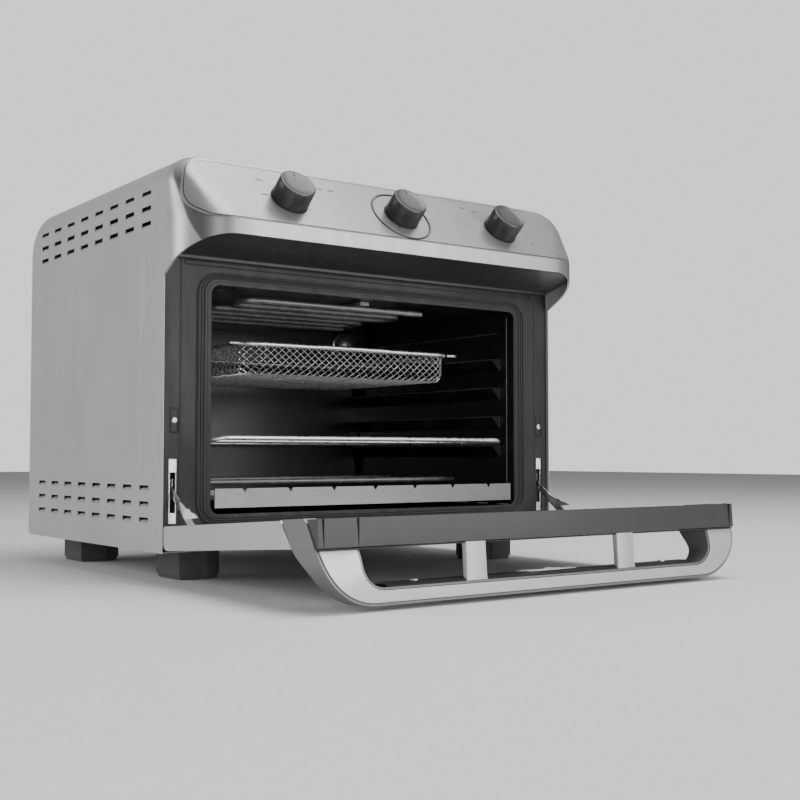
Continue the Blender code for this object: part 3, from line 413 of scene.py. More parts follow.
def prism(name, outline, low, high, place):
    """A flat outline pushed from low to high; place(a, b, d) gives each point."""
    count = len(outline)
    verts = [place(a, b, low) for a, b in outline] + [place(a, b, high) for a, b in outline]
    faces = [tuple(range(count))[::-1], tuple(range(count, 2 * count))]
    faces += [(i, (i + 1) % count, count + (i + 1) % count, count + i) for i in range(count)]
    return piece(name, verts, faces)


def box_outline(a0, a1, b0, b1):
    return [(a0, b0), (a1, b0), (a1, b1), (a0, b1)]


def sideways(a, b, d):
    """Places an outline of y and z, pushed along x."""
    return Vector((d, a, b))


def rounded(x0, x1, z0, z1, radius, steps=6):
    """A rectangle with round corners, anticlockwise."""
    points = []
    for cx, cz, start in ((x1 - radius, z1 - radius, 0), (x0 + radius, z1 - radius, 90),
                          (x0 + radius, z0 + radius, 180), (x1 - radius, z0 + radius, 270)):
        for i in range(steps + 1):
            a = math.radians(start + 90 * i / steps)
            points.append((cx + radius * math.cos(a), cz + radius * math.sin(a)))
    return points


def sweep(name, points, radius, sides=10, closed=False):
    """A round wire along the points, without twist."""
    points = [Vector(p) for p in points]
    count = len(points)
    tangents = []
    for i in range(count):
        before = points[i - 1] if (i or closed) else points[i]
        after = points[(i + 1) % count] if (i < count - 1 or closed) else points[i]
        tangents.append((after - before).normalized())
    side = tangents[0].orthogonal().normalized()
    verts, faces = [], []
    for point, ahead in zip(points, tangents):
        side = (side - ahead * side.dot(ahead)).normalized()
        other = ahead.cross(side)
        for k in range(sides):
            a = 2 * math.pi * k / sides
            verts.append(point + (side * math.cos(a) + other * math.sin(a)) * radius)
    rings = count if closed else count - 1
    for i in range(rings):
        for k in range(sides):
            a, b = i * sides + k, i * sides + (k + 1) % sides
            c, d = ((i + 1) % count) * sides + (k + 1) % sides, ((i + 1) % count) * sides + k
            faces.append((a, b, c, d))
    if not closed:
        faces.append(tuple(range(sides))[::-1])
        faces.append(tuple(range((count - 1) * sides, count * sides)))
    return piece(name, verts, faces)


def curved(points, radius, steps=6, closed=False):
    """The points as a path whose corners are rounded."""
    points = [Vector(p) for p in points]
    count = len(points)
    path = []
    for i, here in enumerate(points):
        if not closed and i in (0, count - 1):
            path.append(here)
            continue
        to_last = points[i - 1] - here
        to_next = points[(i + 1) % count] - here
        reach = min(radius, to_last.length * 0.49, to_next.length * 0.49)
        start = here + to_last.normalized() * reach
        end = here + to_next.normalized() * reach
        for k in range(steps + 1):
            t = k / steps
            path.append(start * (1 - t) ** 2 + here * 2 * t * (1 - t) + end * t ** 2)
    return path


def lathe(name, profile, centre, axis, steps=64):
    """A turned piece: the profile is (radius, height) along the axis."""
    axis = Vector(axis).normalized()
    side = axis.orthogonal().normalized()
    other = axis.cross(side)
    verts = []
    for r, h in profile:
        for k in range(steps):
            a = 2 * math.pi * k / steps
            verts.append(Vector(centre) + axis * h + (side * math.cos(a) + other * math.sin(a)) * max(r, 0.0))
    return piece(name, verts, lattice(len(profile), steps, True))


def joined(name, parts):
    """Several loose objects as one."""
    bm = bmesh.new()
    for part in parts:
        bm.from_mesh(part.data)
    mesh = bpy.data.meshes.new(name)
    bm.to_mesh(mesh)
    bm.free()
    for part in parts:
        bpy.data.objects.remove(part, do_unlink=True)
    return linked(name, mesh)


# ---- cabinet: sheet with pressed field, lanced louvres ----
SIDE = HALF - 0.0007
TOP_R = 0.030
REAR_R = 0.028
LOUVRE_Y = [0.045 + 0.0422 * i for i in range(8)]
LOUVRE_Z = [0.3705, 0.3540, 0.3380, 0.0645, 0.0480, 0.0315]
SLOT_LONG = 0.0230
SLOT_HIGH = 0.0062


def smooth(t):
    """Eases from nought to one."""
    t = min(1.0, max(0.0, t))
    return t * t * (3 - 2 * t)


def field_lift(y, z):
    """How far the pressed field of a side stands out of the sheet."""
    half_y, half_z, r = 0.1415, 0.1135, 0.014
    dy = abs(y - 0.1925) - (half_y - r)
    dz = abs(z - 0.1985) - (half_z - r)
    outside = math.hypot(max(dy, 0.0), max(dz, 0.0)) + min(max(dy, dz), 0.0)
    return 0.0007 * (1 - smooth((outside - r + 0.004) / 0.005))


def spaced(low, high, step, extra=()):
    """Grid lines from low to high, with the extra lines among them."""
    count = max(1, round((high - low) / step))
    lines = {round(low + (high - low) * i / count, 6) for i in range(count + 1)}
    for line in extra:
        lines = {v for v in lines if abs(v - line) > 0.0012 or v in (low, high)}
        lines.add(round(line, 6))
    return sorted(lines)


def build_cabinet():
    y_marks = [y + d for y in LOUVRE_Y for d in (-SLOT_LONG / 2, SLOT_LONG / 2)]
    z_marks = [z + d for z in LOUVRE_Z for d in (-SLOT_HIGH / 2, SLOT_HIGH / 2)]
    ys = spaced(0.0006, DEPTH - REAR_R, 0.005, y_marks)
    ys += [DEPTH - REAR_R * (1 - math.sin(math.radians(a))) for a in range(8, 81, 8)]
    zs = spaced(0.0, TOP - TOP_R, 0.005, z_marks)

    def top_at(y):
        past = max(0.0, y - (DEPTH - REAR_R)) / REAR_R
        return TOP - REAR_R * (1 - math.sqrt(max(0.0, 1 - past ** 2)))

    rows = []
    for y in ys:
        top = top_at(y)
        column = []
        for z in zs:
            level = min(z, top - TOP_R)
            column.append((SIDE + field_lift(y, level), level))
        for a in range(10, 91, 10):
            t = math.radians(a)
            column.append((SIDE - TOP_R * (1 - math.cos(t)), top - TOP_R * (1 - math.sin(t))))
        rows.append([(x, y, z) for x, z in column] + [(-x, y, z) for x, z in reversed(column)])
    width = len(rows[0])
    verts = [at(*p) for row in rows for p in row]
    faces = []
    for j in range(len(ys) - 1):
        in_y = any(abs((ys[j] + ys[j + 1]) / 2 - y) < SLOT_LONG / 2 for y in LOUVRE_Y)
        for i in range(width - 1):
            a, b = rows[j][i], rows[j][i + 1]
            middle = (a[2] + b[2]) / 2
            is_side = abs(a[0]) > SIDE - 0.001 and abs(b[0]) > SIDE - 0.001
            if in_y and is_side and any(abs(middle - z) < SLOT_HIGH / 2 for z in LOUVRE_Z):
                continue
            faces.append((j * width + i, j * width + i + 1, (j + 1) * width + i + 1, (j + 1) * width + i))
    shell = thicken(piece("cabinet_shell", verts, faces), 0.0009)
    finish(shell, PANEL, OVEN, ("outer_cabinet",), angle=40.0)

    verts, faces = [], []
    for side in (-1, 1):
        for y in LOUVRE_Y:
            for z in LOUVRE_Z:
                start = len(verts)
                low = z - SLOT_HIGH / 2
                steps = [(SIDE - 0.0001, low - 0.0001), (SIDE - 0.0007, low + 0.0012), (SIDE - 0.0022, low + 0.0027),
                         (SIDE - 0.0042, low + 0.0036)]
                for inset, (x, level) in zip((0.0, 0.0006, 0.0016, 0.0030), steps):
                    for end in (-1, 1):
                        verts.append(at(side * x, y + end * (SLOT_LONG / 2 - inset), level))
                for k in range(3):
                    a = start + 2 * k
                    faces.append((a, a + 1, a + 3, a + 2))
    fins = thicken(piece("louvre_fins", verts, faces), 0.0006, 0.0)
    finish(fins, PANEL, OVEN, angle=50.0)


# ---- fascia ----
REACH = 0.067
LIP = 0.334
SLOPE = 1.2


def plan_half(z):
    rise = max(0.0, z - (TOP - TOP_R))
    return HALF - TOP_R + math.sqrt(max(0.0, TOP_R ** 2 - rise ** 2))


def plan_point(z, u, lift=0.0):
    """A point on the fascia: u runs from -1 at the left rear edge over 0 in the middle to 1."""
    half = plan_half(z) + lift
    reach = REACH - max(0.0, z - LIP) / SLOPE + lift
    radius = 0.050 - 0.6 * max(0.0, z - LIP) + lift
    side = math.copysign(1.0, u) if u else 1.0
    t = abs(u)
    if t < 0.5:
        return side * (half - radius) * t / 0.5, -reach
    if t < 0.9:
        a = math.radians(90 * (t - 0.5) / 0.4)
        return side * (half - radius + radius * math.sin(a)), -reach + radius * (1 - math.cos(a))
    return side * half, (-reach + radius) * (1 - (t - 0.9) / 0.1)


def build_fascia():
    us = [-1 + i / 10 * 0.1 for i in range(10)] + [-0.9 + 0.4 * i / 24 for i in range(24)]
    us += [-0.5 + i / 12 for i in range(12)]
    us += [0.5] + [-u for u in reversed(us[:34])]
    levels = [LIP - 0.0016, LIP - 0.0004, LIP + 0.0006, LIP + 0.0020]
    levels += [LIP + 0.006 + (TOP - 0.010 - LIP - 0.006) * i / 14 for i in range(15)]
    levels += [TOP - 0.0075, TOP - 0.0050, TOP - 0.0028, TOP - 0.0012, TOP - 0.0003, TOP]
    rows = []
    for share in (0.0, 0.08, 0.5, 0.92):
        row = []
        for u in us:
            x, y = plan_point(LIP, u)
            low = 0.2815 - 0.545 * y
            row.append((x, y, low + (LIP - 0.0016 - low) * share))
        rows.append(row)
    rows += [[(*plan_point(z, u), z) for u in us] for z in levels]
    rows.append([(x, min(-0.0004, y * 0.45), TOP) for x, y, z in rows[-1]])
    rows.append([(x, -0.0004, TOP) for x, y, z in rows[-1]])
    verts = [at(x, min(y, -0.0004), z) for row in rows for x, y, z in row]
    shell = thicken(piece("fascia_shell", verts, lattice(len(rows), len(us))), 0.0024)
    finish(shell, FASCIA, OVEN, ("control_fascia",), angle=32.0)


PLATE_EDGE = [(0.3335, 0.60), (0.3345, 0.655), (0.336, 0.690), (0.339, 0.713), (0.344, 0.751), (0.349, 0.770),
              (0.354, 0.780), (0.360, 0.776), (0.366, 0.757), (0.372, 0.731), (0.377, 0.706), (0.384, 0.678),
              (0.391, 0.645), (0.395, 0.600), (0.398, 0.530), (0.400, 0.470), (0.4012, 0.430)]


def along(table, value):
    """Reads a table of pairs at a value, straight between its rows."""
    for (a, fa), (b, fb) in zip(table, table[1:]):
        if value <= b:
            return fa + (fb - fa) * max(0.0, value - a) / (b - a)
    return table[-1][1]


def plate_skin(name, low, high, inset, lift, thick, material, nodes=()):
    """A facing on the slanted front, inside the plate's outline."""
    count = 40
    levels = [low + (high - low) * (i / count) for i in range(count + 1)]
    rows = []
    for z in levels:
        edge = along(PLATE_EDGE, z)
        near = min(1.0, min(z - PLATE_EDGE[0][0], PLATE_EDGE[-1][0] - z) / 0.012)
        scale = max(0.0, edge - inset / 0.105 * (1.0 + 0.5 * (1 - near)))
        row = []
        for i in range(-36, 37):
            x, y = plan_point(z, scale * i / 36, lift)
            row.append(at(x, y, z + lift * 0.64))
        rows.append(row)
    skin = thicken(piece(name, [v for row in rows for v in row], lattice(len(rows), len(rows[0]))), thick)
    finish(skin, material, OVEN, nodes, 0.0003, 40.0)


NORMAL = Vector((0.0, -SLOPE, 1.0)).normalized()
UPSLOPE = Vector((0.0, 1.0, SLOPE)).normalized()
KNOB_FOOT = at(0.0, -0.0435, 0.3635)
KNOB_R, KNOB_H = 0.0206, 0.0235
KNOB_GAP = 0.1445


def on_slant(x, t, off):
    """A point on the slanted front by distance across, up the slope and outwards."""
    return KNOB_FOOT + Vector((x, 0.0, 0.0)) + UPSLOPE * t + NORMAL * off


def build_knobs():
    face = (at(0.0, -REACH, LIP) - KNOB_FOOT).dot(NORMAL) + 0.0014
    for name, x in (("thermostat", -KNOB_GAP), ("selector", 0.0), ("timer", KNOB_GAP)):
        foot = on_slant(x, 0.0, face)
        r, h = KNOB_R, KNOB_H
        skirt = [(0.0036, 0.0010), (r - 0.0018, 0.0010), (r - 0.0006, 0.0012), (r, 0.0018), (r - 0.0003, 0.010),
                 (r - 0.0006, h - 0.0016), (r - 0.0008, h - 0.0012)]
        finish(lathe(name + "_skirt", skirt, foot, NORMAL, 96), KNOB_SIDE, name, (name + "_knob",), angle=30.0)
        cap = [(r - 0.0008, h - 0.0012), (r - 0.0016, h - 0.0004), (r - 0.0024, h - 0.0002),
               (r - 0.0032, h - 0.0005), (r * 0.5, h - 0.0008), (0.0, h - 0.0009)]
        finish(lathe(name + "_cap", cap, foot, NORMAL, 96), KNOB_FACE, name, angle=24.0)
        # Painted shade: a black ring round the knob's foot, for the shade in the gap under the knob.
        line = lathe(name + "_foot_gap_shade", [(r - 0.0030, 0.0001), (r + 0.0006, 0.0001), (r + 0.0006, 0.0016),
                                           (r - 0.0030, 0.0016)], foot, NORMAL, 72)
        finish(line, BLACK, name, angle=40.0)
        mark = prism(name + "_mark", box_outline(-0.0006, 0.0006, 0.0115, 0.0165), h - 0.0004, h - 0.0002,
                     lambda a, t, d: on_slant(x + a, t, face + d))
        finish(mark, PRINT, name, angle=40.0)
    flat = on_slant(0.0, 0.0, face - 0.0002)
    for name, inner, outer, high, material, nodes in (
            ("selector_rim_outer", 0.0367, 0.0375, 0.0010, BLACK, ("selector_ring",)),
            ("selector_rim", 0.0356, 0.0367, 0.0014, PLATE, ()),
            ("selector_rim_inner", 0.0349, 0.0356, 0.0010, BLACK, ())):
        ring = lathe(name, [(inner, 0.0), (inner + 0.0001, high * 0.85), (inner + 0.0003, high),
                            (outer - 0.0003, high), (outer - 0.0001, high * 0.85), (outer, 0.0)], flat, NORMAL, 120)
        finish(ring, material, OVEN, nodes, angle=40.0)
    return face


def build_print(face):
    """Generic dial ticks and simple signs, printed round the knobs."""
    verts = []

    def dash(x, t, long, wide, angle):
        c, s = math.cos(angle), math.sin(angle)
        for a, b in box_outline(-long / 2, long / 2, -wide / 2, wide / 2):
            verts.append(on_slant(x + a * c - b * s, t + a * s + b * c, face + 0.00005))

    for centre, start, end, count, radius in ((-KNOB_GAP, -150, -20, 9, 0.0245), (0.0, -150, 150, 7, 0.0232),
                                              (KNOB_GAP, -75, 60, 7, 0.0245)):
        for i in range(count):
            turn = math.radians(start + (end - start) * i / (count - 1))
            long = 0.0030 if i % 2 == 0 else 0.0018
            dash(centre - radius * math.sin(turn), radius * math.cos(turn), long, 0.0005, math.radians(90) - turn)
    for x, t in ((-0.172, 0.027), (-0.097, 0.027), (0.104, 0.033)):
        for dx, dt, long, angle in ((0.0, 0.0, 0.005, 0.9), (0.0022, 0.0004, 0.0034, -0.7),
                                    (-0.0020, 0.001, 0.0026, 1.9)):
            dash(x + dx, t + dt, long, 0.0006, angle)
    for x, t, long in ((-0.172, 0.004, 0.010), (-0.083, 0.027, 0.006), (0.122, 0.030, 0.007),
                       (0.186, -0.018, 0.004)):
        dash(x, t, long, 0.0007, 0.0)
    faces = [tuple(range(i, i + 4)) for i in range(0, len(verts), 4)]
    printed = thicken(piece("dial_marks", verts, faces), 0.0003, 0.0)
    finish(printed, PRINT, OVEN, angle=40.0)


# ---- handle ----
FRONT_LINE = [(-0.001, 0.2640), (0.006, 0.2695), (0.014, 0.2745), (0.0243, 0.2795), (0.032, 0.2822),
              (0.040, 0.2840), (0.048, 0.2850), (0.056, 0.2852), (0.080, 0.2852)]
REAR_LINE = [(-0.001, 0.2285), (0.008, 0.2335), (0.016, 0.2385), (0.024, 0.2425), (0.030, 0.2465),
             (0.038, 0.2530), (0.046, 0.2585), (0.056, 0.2610), (0.080, 0.2618)]


def c_stations(inset_out, inset_in, root):
    """Matching points on the outer and inner edge of the handle's C, from its right root to the middle."""
    outer_half, bottom, big = 0.2628 - inset_out, 0.0742 - inset_out, 0.0560 - inset_out
    inner_half, bar, small = 0.2185 + inset_in, 0.0592 + inset_in, 0.0210 + inset_in
    start = math.asin(max(0.0, min(1.0, (root - (bottom - big)) / big)))
    pairs = []
    for i in range(15):
        t = i / 14
        a = start + (math.radians(90) - start) * t
        out = (outer_half - big * (1 - math.cos(a)), bottom - big * (1 - math.sin(a)))
        if t < 0.3:
            inn = (inner_half + 0.0012 * (1 - t / 0.3), root + (bar - small - root) * t / 0.3)
        else:
            b = math.radians(90) * (t - 0.3) / 0.7
            inn = (inner_half - small * (1 - math.cos(b)), bar - small * (1 - math.sin(b)))
        pairs.append((out, inn))
    for i in range(1, 8):
        t = i / 7
        pairs.append(((pairs[14][0][0] * (1 - t), bottom), (pairs[14][1][0] * (1 - t), bar)))
    return pairs


def c_band(name, inset_out, inset_in, root, front_off, rear_off, cheeks=False, both_front=False):
    """The C as a closed band; its front and rear follow the handle's side profile."""
    right = c_stations(inset_out, inset_in, root)
    if cheeks:
        right = [((0.2628, w), (0.2503, w)) for w in (-0.0008, 0.006, 0.012, 0.018, root - 0.0004)] + right
    left = [((-o[0], o[1]), (-i[0], i[1])) for o, i in right[:-1]][::-1]
    stations = right + left
    rear = FRONT_LINE if both_front else REAR_LINE
    verts = []
    for outer, inner in stations:
        for (x, w), line, off in ((outer, FRONT_LINE, front_off), (inner, FRONT_LINE, front_off),
                                  (inner, rear, rear_off), (outer, rear, rear_off)):
            verts.append(in_door(x, w, along(line, w) + off))
    last = len(verts)
    faces = [(0, 1, 2, 3), (last - 4, last - 3, last - 2, last - 1)] + lattice(len(stations), 4, True)
    return piece(name, verts, faces)


def build_handle():
    root = 0.0247
    body = c_band("handle_shell", 0.0, 0.0, root, -0.0007, 0.0, cheeks=True)
    finish(body, SHELL, DOOR_BODY, ("handle_body",), 0.0009, 38.0, 3)
    shadow = c_band("handle_seam", 0.0021, 0.0019, root + 0.0010, -0.00045, -0.0016, both_front=True)
    finish(shadow, BLACK, DOOR_BODY, angle=40.0)
    cover = c_band("handle_face", 0.0027, 0.0024, root + 0.0016, 0.0003, -0.0012, both_front=True)
    finish(cover, COVER, DOOR_BODY, ("handle_cover",), 0.0004, 38.0)
    # Painted shade: a thin sheet of the dark trim grey on the bar's inner wall, which lies in shade.
    wall = []
    for i in range(41):
        x = -0.194 + 0.388 * i / 40
        hump = 0.0016 * (1 - smooth((abs(x) - 0.030) / 0.030))
        wall += [in_door(x, 0.0590 - hump * 0.6, 0.2835), in_door(x, 0.0560 - hump, 0.2780),
                 in_door(x, 0.0555 - hump * 0.4, 0.2640), in_door(x, 0.0592, 0.2622)]
    shade_sheet = thicken(piece("handle_inner_wall_shade", wall, lattice(41, 4)), 0.0008)
    finish(shade_sheet, TRIM, DOOR_BODY, angle=50.0)
    up = (in_door(0, 0, 0) - in_door(0, 0.01, 0)).normalized()
    for k, (r, wide) in enumerate(((0.0088, 4.4), (0.0052, 4.6))):
        profile = [(r - 0.0007, -0.0006), (r - 0.0005, 0.0004), (r, 0.0006), (r + 0.0004, 0.0003),
                   (r + 0.0006, -0.0006)]
        oval = lathe(f"handle_oval_{k}", profile, in_door(0.0, 0.0547, 0.2725), up, 64)
        oval.data.transform(Matrix.Diagonal((wide, 1.0, 1.0, 1.0)))
        finish(oval, COVER, DOOR_BODY, angle=50.0)
    head = [(0.0, 0.0006), (0.0016, 0.0006), (0.0024, 0.0002), (0.0030, 0.0008), (0.0036, 0.0006), (0.0040, -0.0004)]
    for word, x, w, wide, material in (("left", -0.158, 0.0553, 1.0, CHROME), ("right", 0.158, 0.0553, 1.0, CHROME),
                                       ("middle", 0.0, 0.0539, 1.8, COVER)):
        boss = lathe("handle_screw_" + word, head, in_door(x, w, 0.2715), up, 28)
        boss.data.transform(Matrix.Diagonal((wide, 1.0, 1.0, 1.0)))
        finish(boss, material, DOOR_BODY, angle=40.0)
    for side, word in ((-1, "left"), (1, "right")):
        x, half = side * 0.0955, 0.0116
        shape = rounded(x - half, x + half, 0.2765, 0.2832, 0.0012, 4)
        levels = ((0.0248, 0.0), (0.0400, 0.0), (0.0520, 0.0), (0.0570, 0.0004), (0.0588, 0.0012))
        verts = [in_door(x + (px - x) * (1 + grow / half), w, ps) for w, grow in levels for px, ps in shape]
        count = len(shape)
        ends = [tuple(range(count)), tuple(range(len(verts) - count, len(verts)))]
        post = piece("handle_stem_" + word, verts, lattice(len(levels), count, True) + ends)
        finish(post, COVER, DOOR_BODY, ("handle_post_" + word,), angle=35.0)


# ---- basket, rack, heaters ----
def build_basket():
    """Expanded-metal pan: every diamond is open, the strands are raised, the rim is a bright wire."""
    low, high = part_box("fry_basket")
    x1, y0, y1 = high.x - 0.0006, low.y + 0.0006, high.y - 0.0006
    top, base = high.z - 0.0006, low.z + 0.0010
    radius, foot = 0.020, 0.009
    outline = [Vector((x, y, 0.0)) for x, y in rounded(-x1, x1, y0, y1, radius, 8)]
    lengths = [0.0]
    ring = outline + [outline[0]]
    for a, b in zip(ring, ring[1:]):
        lengths.append(lengths[-1] + (b - a).length)
    total = lengths[-1]

    def around(t):
        t = (t % 1.0) * total
        for i in range(len(outline)):
            if t <= lengths[i + 1]:
                part = (t - lengths[i]) / (lengths[i + 1] - lengths[i])
                return ring[i].lerp(ring[i + 1], part)
        return ring[0]

    centre = Vector((0.0, (y0 + y1) / 2, 0.0))
    cells = 2 * round(total / 0.0098 / 2)
    side_rows = 9
    verts, faces = [], []

    def wall_point(i, j):
        p = around(i * 0.5 / cells)
        inward = centre - p
        inward = Vector((math.copysign(1.0, inward.x) if abs(p.x) > x1 - radius else 0.0,
                         math.copysign(1.0, inward.y) if p.y < y0 + radius or p.y > y1 - radius else 0.0, 0.0))
        inset = 0.0
        depth = (top - base) * (j / side_rows)
        bend_from = (top - base) - foot
        if depth > bend_from:
            a = (depth - bend_from) / foot * math.radians(90)
            inset = foot * (1 - math.cos(a)) * 0.6
        q = p + (inward.normalized() * inset if inward.length else Vector())
        return Vector((q.x, q.y, top - depth))

    index = {}

    def node(i, j):
        key = (i % (2 * cells), j)
        if key not in index:
            index[key] = len(verts)
            verts.append(wall_point(key[0], j))
        return index[key]

    for j in range(0, side_rows - 1):
        for i in range(j % 2, 2 * cells, 2):
            faces.append((node(i, j), node(i + 1, j + 1), node(i, j + 2), node(i - 1, j + 1)))
    pitch_x, pitch_y = 0.0096, 0.0062
    inset = 0.0072
    nx = int((2 * x1 - 2 * inset) / (pitch_x / 2))
    ny = int((y1 - y0 - 2 * inset) / (pitch_y / 2))
    floor_index = {}

    def floor_place(i, j):
        return -x1 + inset + (2 * x1 - 2 * inset) * i / nx, y0 + inset + (y1 - y0 - 2 * inset) * j / ny

    def floor_node(i, j):
        if (i, j) not in floor_index:
            floor_index[(i, j)] = len(verts)
            verts.append(Vector((*floor_place(i, j), base)))
        return floor_index[(i, j)]

    for j in range(0, ny - 1):
        for i in range(1 + j % 2, nx, 2):
            cx, cy = floor_place(i, j + 1)
            dx = abs(cx) - (x1 - inset - 0.012)
            dy = abs(cy - centre.y) - ((y1 - y0) / 2 - inset - 0.012)
            if dx > 0 and dy > 0 and math.hypot(dx, dy) > 0.012:
                continue
            faces.append((floor_node(i, j), floor_node(i + 1, j + 1), floor_node(i, j + 2), floor_node(i - 1, j + 1)))

    # Painted shade: the rear wall and the far side wall of the mesh get the dark chrome copy.
    def in_shade(face):
        middle = sum((verts[i] for i in face), Vector()) / 4
        return middle.y > y1 - 0.012 or (middle.x > x1 - 0.010 and middle.y > y0 + 0.012 and middle.z > base + 0.004)

    for name, material, nodes, shaded in (("basket_mesh", MESH, ("fry_basket",), False),
                                          ("basket_mesh_rear", MESH_SHADE, (), True)):
        mesh = bpy.data.meshes.new(name)
        mesh.from_pydata([tuple(v) for v in verts], [], [f for f in faces if in_shade(f) == shaded])
        mesh.update()
        basket = linked(name, mesh)
        strands = basket.modifiers.new("strands", "WIREFRAME")
        strands.thickness = 0.00125
        strands.use_even_offset = False
        strands.use_boundary = True
        strands.use_replace = True
        bake(basket)
        finish(basket, material, "basket", nodes, angle=60.0)

    hoop_low, hoop_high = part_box("basket_frame")
    wire = 0.0021
    reach = x1 + wire + 0.0010
    rail = hoop_high.z - 0.0026
    loop = [(x, y, rail) for x, y in rounded(-reach, reach, y0 - wire - 0.001, y1 + wire + 0.001, 0.023, 8)]
    rim = sweep("basket_rim", loop, wire, 12, True)
    lower = [(x, y, top - 0.0022) for x, y in rounded(-x1 + 0.0003, x1 - 0.0003, y0 + 0.0003, y1 - 0.0003, 0.020, 8)]
    strip = sweep("basket_top_wire", lower, 0.0010, 8, True)
    raised = [(-0.052, hoop_low.y + wire, rail), (-0.040, hoop_low.y + wire, rail + 0.0004),
              (0.040, hoop_low.y + wire, rail + 0.0004), (0.052, hoop_low.y + wire, rail)]
    parts = [rim, strip, sweep("raised_rim", curved(raised, 0.006), wire, 10)]
    for side in (-1, 1):
        x = side * (x1 - 0.0032)
        runner = [(x, y0 + 0.016, base + 0.0050), (x, y1 - 0.016, base + 0.0050)]
        parts.append(sweep("runner", runner, 0.0009, 8))
        hook = curved([(side * (reach - 0.001), y0 + 0.004, rail), (side * (reach + 0.007), y0 + 0.001, rail),
                       (side * (reach + 0.013), y0 + 0.005, hoop_low.z + wire)], 0.004)
        parts.append(sweep("hook", hook, wire * 0.8, 8))
    for y in (Y0 + 0.150, Y0 + 0.270):
        for side in (-1, 1):
            path = curved([(side * (reach - 0.0005), y, rail), (side * (reach + 0.012), y, hoop_low.z + wire),
                           (side * (hoop_high.x - 0.0005), y, hoop_low.z + wire)], 0.006)
            parts.append(sweep("wing", path, wire * 0.9, 10))
    finish(joined("basket_wires", parts), CHROME, "basket", ("basket_frame",), angle=60.0)


def build_rack():
    low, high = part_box("wire_rack")
    wire = 0.0024
    z = low.z + wire
    half, front, back = high.x - wire, low.y + wire, high.y - 0.0019
    line = [(half, back, z), (half, front + 0.012, z), (half - 0.014, front, z + 0.0030),
            (-half + 0.014, front, z + 0.0030), (-half, front + 0.012, z), (-half, back, z)]
    parts = [sweep("rack_edge", curved(line, 0.008, 6), wire, 14)]
    parts.append(sweep("rack_rear", [(half, back - 0.002, z), (-half, back - 0.002, z)], 0.0019, 10))
    for i in range(7):
        x = -0.156 + 0.052 * i
        path = [(x, front - 0.0002, z + 0.0034), (x, front + 0.006, z + 0.0040), (x, back - 0.003, z + 0.0030)]
        parts.append(sweep("rung", curved(path, 0.003, 3), 0.0014, 10))
    for y in (front + 0.085, front + 0.190):
        parts.append(sweep("cross_wire", [(-half, y, z + 0.0006), (half, y, z + 0.0006)], 0.0016, 10))
    finish(joined("rack_wires", parts), CHROME, "rack", ("wire_rack",), angle=60.0)


def build_heaters():
    low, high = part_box("heater_upper")
    r, pitch = 0.0033, 0.040
    z = (low.z + high.z) / 2
    left, right = low.x + r, low.x + r + 0.236
    corners = []
    for i in range(6):
        y = low.y + r + pitch * i
        corners += [(x, y, z) for x in ((right, left) if i % 2 == 0 else (left, right))]
    corners.append((high.x, corners[-1][1], z))
    pipe = sweep("heater_upper_tube", curved(corners, pitch * 0.45, 8), r, 16)
    finish(pipe, HEATER, OVEN, ("heater_upper",), angle=60.0)
    low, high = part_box("heater_lower")
    z = (low.z + high.z) / 2
    path = [(x, y, z) for x, y in box_outline(high.x, low.x + r, low.y + r, high.y - r)]
    pipe = sweep("heater_lower_tube", curved(path, 0.024, 8), r, 16)
    finish(pipe, HEATER, OVEN, ("heater_lower",), angle=60.0)
    lamp_low, lamp_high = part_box("oven_lamp_glass")
    centre = Vector(((lamp_low.x + lamp_high.x) / 2, lamp_high.y, (lamp_low.z + lamp_high.z) / 2))
    profile = [(0.0153, 0.0004), (0.0155, 0.004)]
    for i in range(1, 13):
        a = math.radians(90 * i / 12)
        wave = 0.00025 * math.cos(i * math.pi)
        profile.append(((0.0155 + wave) * math.cos(a), 0.004 + 0.0122 * math.sin(a)))
    bulb = [(0.0, 0.011), (0.004, 0.0098), (0.0062, 0.007), (0.0066, 0.004), (0.0052, 0.0008)]
    collar = [(0.0158, 0.0), (0.0175, 0.0004), (0.0178, 0.0022), (0.0166, 0.0030), (0.0157, 0.0022)]
    for name, line, steps, material, nodes in (("lamp_dome", profile, 48, LAMP, ("oven_lamp_glass",)),
                                               ("lamp_bulb", bulb, 32, CHROME, ()),
                                               ("lamp_collar", collar, 48, ZINC, ())):
        finish(lathe(name, line, centre, FORWARD, steps), material, OVEN, nodes, angle=60.0)


def band(name, outer, inner, low, high, material, nodes, bevel=0.0):
    """A flat ring between two outlines with the same number of points, lying on the front frame."""
    loops = ((outer, low), (inner, low), (inner, high), (outer, high), (outer, low))
    verts = [at(x, y, z) for loop, y in loops for x, z in loop]
    finish(piece(name, verts, lattice(5, len(outer), True)), material, OVEN, nodes, bevel)


def mouth(x, low, high, radius):
    return rounded(-x, x, low, high, radius, 8)


FRAME = 0.0045
FORWARD = (0, -1, 0)


